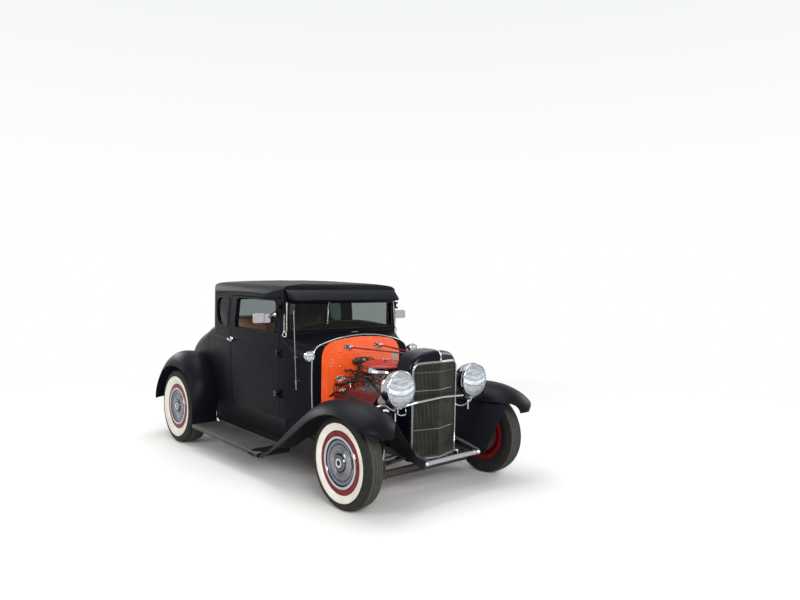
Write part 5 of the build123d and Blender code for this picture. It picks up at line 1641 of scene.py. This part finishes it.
def makeFloorFittings():
    for name, x, y, wide, tall in (
            ("brakePedal", 245, 1010, 70, 48), ("clutchPedal", 345, 1010, 60, 48),
            ("gasPedal", 160, 1020, 48, 120)):
        place = facing(at(x, y, 560), tipped((0, 0.8, 0.6)))
        showPiece(slab(name + "Pad", roundedBox(wide, tall, 8), 8, place, 2), "blackRubber")
        showPiece(line(name + "Arm", trace(1, (x, y - 4, 556), (x, y - 60, 520), (x, y - 90, 430)), 0.007),
                  "chassisBlack")
    showPiece(line("shiftLever", trace(1, (0, 1330, 470), (0, 1345, 560), (10, 1380, 650), (14, 1410, 742)),
                   0.0065), "chrome")
    turnedPiece(
        "shiftKnob", [(0, -24), (10, -22), (20, -10), (23, 2), (20, 14), (11, 22), (0, 24)],
        facing(at(16, 1420, 762), tipped((0.05, 0.3, 1))), "whiteEnamel", steps=36, slot="wheel_plastic")
    turnedPiece("shiftBoot", [(0, 0), (62, 0), (60, 8), (42, 18), (44, 26), (28, 36), (30, 44), (12, 58),
                              (0, 60)], facing(at(0, 1322, 418), upward), "hoseRubber", steps=40)
    mats = []
    for x in (-300, 300):
        mats.append(slab("mat", roundedBox(330, 360, 30), 7, facing(at(x, 1330, 416), upward), 3))
    showPiece(gather(mats, "floorMats"), "blackRubber", slot="floor_cover")


def makeDoorPanels():
    for sideName, side in sides:
        body = f"door_{sideName}"
        tree = treeOf(body)
        rows, columns = 13, 14
        points = []
        for i in range(rows):
            z = 440 + (1050 - 440) * i / (rows - 1)
            for j in range(columns):
                y = 1112 + (1816 - 1112) * j / (columns - 1)
                spot = hitFrom(tree, at(side * 300, y, z), (side, 0, 0), 0.0)
                inner = spot if spot is not None else at(side * 560, y, z)
                edge = min(i, rows - 1 - i, j, columns - 1 - j)
                quilt = 0.004 * (math.sin(j * math.pi / 2.2) ** 2) if 2 < i < rows - 3 else 0.0
                points.append(inner - Vector((side * (0.004 if edge == 0 else 0.011 + quilt), 0, 0)))
        panel = thickened(meshPiece(f"doorCard_{sideName}", points, gridFaces(rows, columns)), 0.006, 0)
        showPiece(softened(panel), "doorTrim", body)
        spot = hitFrom(tree, at(side * 300, 1500, 860), (side, 0, 0), 0.0)
        showPiece(
            line(f"armRest_{sideName}", [spot + Vector((-side * a, b, 0)) for a, b in ((0.012, -0.16),
            (0.045, -0.12), (0.05, 0.0), (0.045, 0.12), (0.012, 0.16))], 0.014), "doorTrim", body)
        for label, y, z in (("window", 1380, 760), ("latch", 1730, 850)):
            spot = hitFrom(tree, at(side * 300, y, z), (side, 0, 0), 0.0)
            rose = turned("rose", [(0, 0), (22, 0), (22, 6), (14, 12), (10, 26), (0, 26)], steps=32)
            rose.data.transform(facing(spot - Vector((side * 0.014, 0, 0)), (-side, 0, 0)))
            lever = slab(
                "lever", roundedBox(16, 92, 7), 7, facing(spot + Vector((-side * 0.034, 0, -0.036)),
                (-side, 0, 0)), 2)
            showPiece(gather([rose, lever], f"{label}Crank_{sideName}"), "chrome", body)


def makeSteeringTrim():
    hub, foot = (350, 1400, 935), (350, 752, 592)
    axis = (at(*hub) - at(*foot)).normalized()
    turnedPiece("hornButton", [(0, 0), (24, 0), (28, 4), (26, 10), (16, 15), (0, 17)],
                facing(at(*hub) + axis * 0.002, axis), "chrome", steps=40, body="steering_wheel")
    beads = []
    frameOf = facing(at(*hub), axis)
    for k in range(72):
        angle = 2 * math.pi * k / 72
        outward = Vector((math.cos(angle), math.sin(angle), 0))
        beads.append([
            frameOf @ (outward * 0.195 + outward * 0.0126 * math.cos(a)
                       + Vector((0, 0, 0.0126 * math.sin(a))))
            for a in (-2.4, -1.8, -1.2, -0.6)])
    showPiece(line("wheelFingerGrips", beads, 0.0016, straight=True, sides=1), "darkPlastic",
              "steering_wheel")
    turnedPiece("columnCollar", [(22.6, 0), (27, 0), (27, 46), (22.6, 46)],
                facing(at(*hub) - axis * 0.108, axis), "chrome", steps=40)
    turnedPiece("columnSeal", [(22.6, 0), (46, 0), (46, 5), (30, 10), (26, 18), (22.6, 18)],
                facing(at(*foot) + axis * 0.024, axis), "hoseRubber", steps=40)


def makeHeadliner():
    tree = treeOf("roof")
    rows, columns = 15, 13
    points = []
    for i in range(rows):
        y = 1120 + (2230 - 1120) * i / (rows - 1)
        for j in range(columns):
            x = -500 + 1000 * j / (columns - 1)
            spot = hitFrom(tree, at(x, y, 1300), upward, 0.0)
            sag = 0.010 + (0.006 if i % 2 else 0.0)
            points.append((spot if spot is not None else at(x, y, 1440)) - tipped((0, 0, sag)))
    faces = [(face[0], *face[:0:-1]) for face in gridFaces(rows, columns)]
    liner = softened(thickened(meshPiece("headliner", points, faces), 0.003))
    showPiece(liner, "headliner")
    showPiece(slab("cabinMirror", roundedBox(190, 52, 14), 14, facing(at(0, 1120, 1352),
                                                                      tipped((0, 1, -0.15))), 3), "chrome")
    showPiece(line("cabinMirrorStem", trace(1, (0, 1120, 1378), (0, 1112, 1400), (0, 1100, 1432)), 0.005),
              "chrome")


makeSeat()
makeDash()
makeFloorFittings()
makeDoorPanels()
makeSteeringTrim()
makeHeadliner()
print("cabin furnished")


# chassis fittings
def makeChassisFittings():
    for sideName, side in sides:
        nuts = [facing(onFloor(side * x, y, 148), (0, 0, -1)) for y in (-22, 22) for x in (372, 428)]
        showPiece(boltHeads(f"frontPerchNuts_{sideName}", nuts, 17, 12), "dullChrome", slot="bare_steel")
        showPiece(
            line(f"springShackle_{sideName}", trace(side, (402, -24, 190), (402, -30, 214), (400, -28, 240),
            (392, -24, 252)), 0.006), "chassisBlack")
        for label, low, high in (
                ("front", (375, 46, 192), (338, 56, 345)), ("rear", (498, 2570, 296), (483, 2520, 410))):
            start, end = at(side * low[0], low[1], low[2]), at(side * high[0], high[1], high[2])
            axis = (end - start).normalized()
            turnedPiece(f"shockBoot_{label}_{sideName}", [(16.3, 0), (19, 1), (19, 8), (16.3, 9)],
                        facing(start + axis * 0.072, axis), "chrome", steps=36)
            turnedSet(
                f"shockEyes_{label}_{sideName}", [(0, -16), (15, -16), (18, -13), (18, 13), (15, 16),
                (0, 16)], [facing(spot, rearward) for spot in (start, end)], "chassisBlack", 28)
        loops = [[at(side * x, y, 226), at(side * x, y, 300)] for x in (90, 60) for y in (-27, 27)]
        showPiece(line(f"springUBolts_{sideName}", loops, 0.0062, straight=True), "dullChrome",
                  slot="bare_steel")
        for spot, name in ((at(side * 200, 1455, 192), "front"), (at(side * 200, 1945, 192), "rear")):
            turnedPiece(
                f"pipeClamp_{name}_{sideName}", [(22, -9), (27, -9), (27, 9), (22, 9)],
                facing(spot + tipped((0, -0.03 if name == "front" else 0.03, 0)), rearward), "dullChrome",
                steps=36, slot="bare_steel")
        showPiece(
            line(f"pipeHanger_{sideName}", trace(side, (200, 2120, 214), (236, 2124, 260), (330, 2120, 300),
            (400, 2118, 300)), 0.006), "chassisBlack")
        runs = [[at(side * 352, y, 384) for y in (420, 760, 1100)] + [at(side * 392, 1700, 384),
                                                                      at(side * 420, 2200, 384)]]
        showPiece(line(f"brakePipe_{sideName}", runs, 0.0032), "dullChrome", slot="bare_steel")
        showPiece(line(f"brakeHose_{sideName}", trace(side, (330, 40, 352), (392, 70, 392), (470, 80, 396),
                                                      (540, 62, 366)), 0.0062), "hoseRubber")
        seal = [at(side * 519.5, y, z) for y, z in ((2302, 168), (2346, 168), (2346, 396), (2302, 396))]
        seal += [at(side * 514.5, y, z) for y, z in ((2302, 168), (2346, 168), (2346, 396), (2302, 396))]
        flap = meshPiece(
            f"apronFlap_{sideName}", seal, [(0, 1, 2, 3), (7, 6, 5, 4), (0, 4, 5, 1), (1, 5, 6, 2),
            (2, 6, 7, 3), (3, 7, 4, 0)], smooth=False)
        showPiece(rounded(flap, 0.001), "hoseRubber")


def makeKnuckleFittings():
    for sideName, side in sides:
        body = f"knuckle_{sideName}"
        turnedPiece(
            f"kingpinCap_{sideName}", [(0, 0), (17, 0), (19, 3), (16, 8), (6, 11), (0, 11)],
            facing(onFloor(side * 600, 0, 388), (0, 0, 1)), "dullChrome", steps=32, body=body,
            slot="bare_steel")
        ring = []
        for k in range(8):
            angle = 2 * math.pi * k / 8
            ring.append(facing(onFloor(side * 646, 112 * math.cos(angle), 320 + 112 * math.sin(angle)),
                               (-side, 0, 0)))
        showPiece(boltHeads(f"brakePlateBolts_{sideName}", ring, 12, 6), "dullChrome", body,
                  slot="bare_steel")
        turnedPiece(f"brakePlateRim_{sideName}", [(132, 0), (138.6, 0), (139.4, 3), (138.6, 6), (132, 6)],
                    facing(onFloor(side * 645, 0, 320), (side, 0, 0)), "chassisBlack", steps=72, body=body)


def makeSpreaderEnds():
    for sideName, side in sides:
        turnedPiece(
            f"spreaderCap_{sideName}", [(0, 0), (16, 0), (20, -3), (20, -22), (18.2, -24), (18.2, -3),
            (0, -3)], facing(at(side * 243, -286, 292), (side, 0, 0)), "chrome", steps=40)
        showPiece(boltHeads(f"hornBolt_{sideName}", [facing(at(side * 258, -302, 295), forward)], 24, 12),
                  "chrome")


makeChassisFittings()
makeKnuckleFittings()
makeSpreaderEnds()
print("chassis fitted")
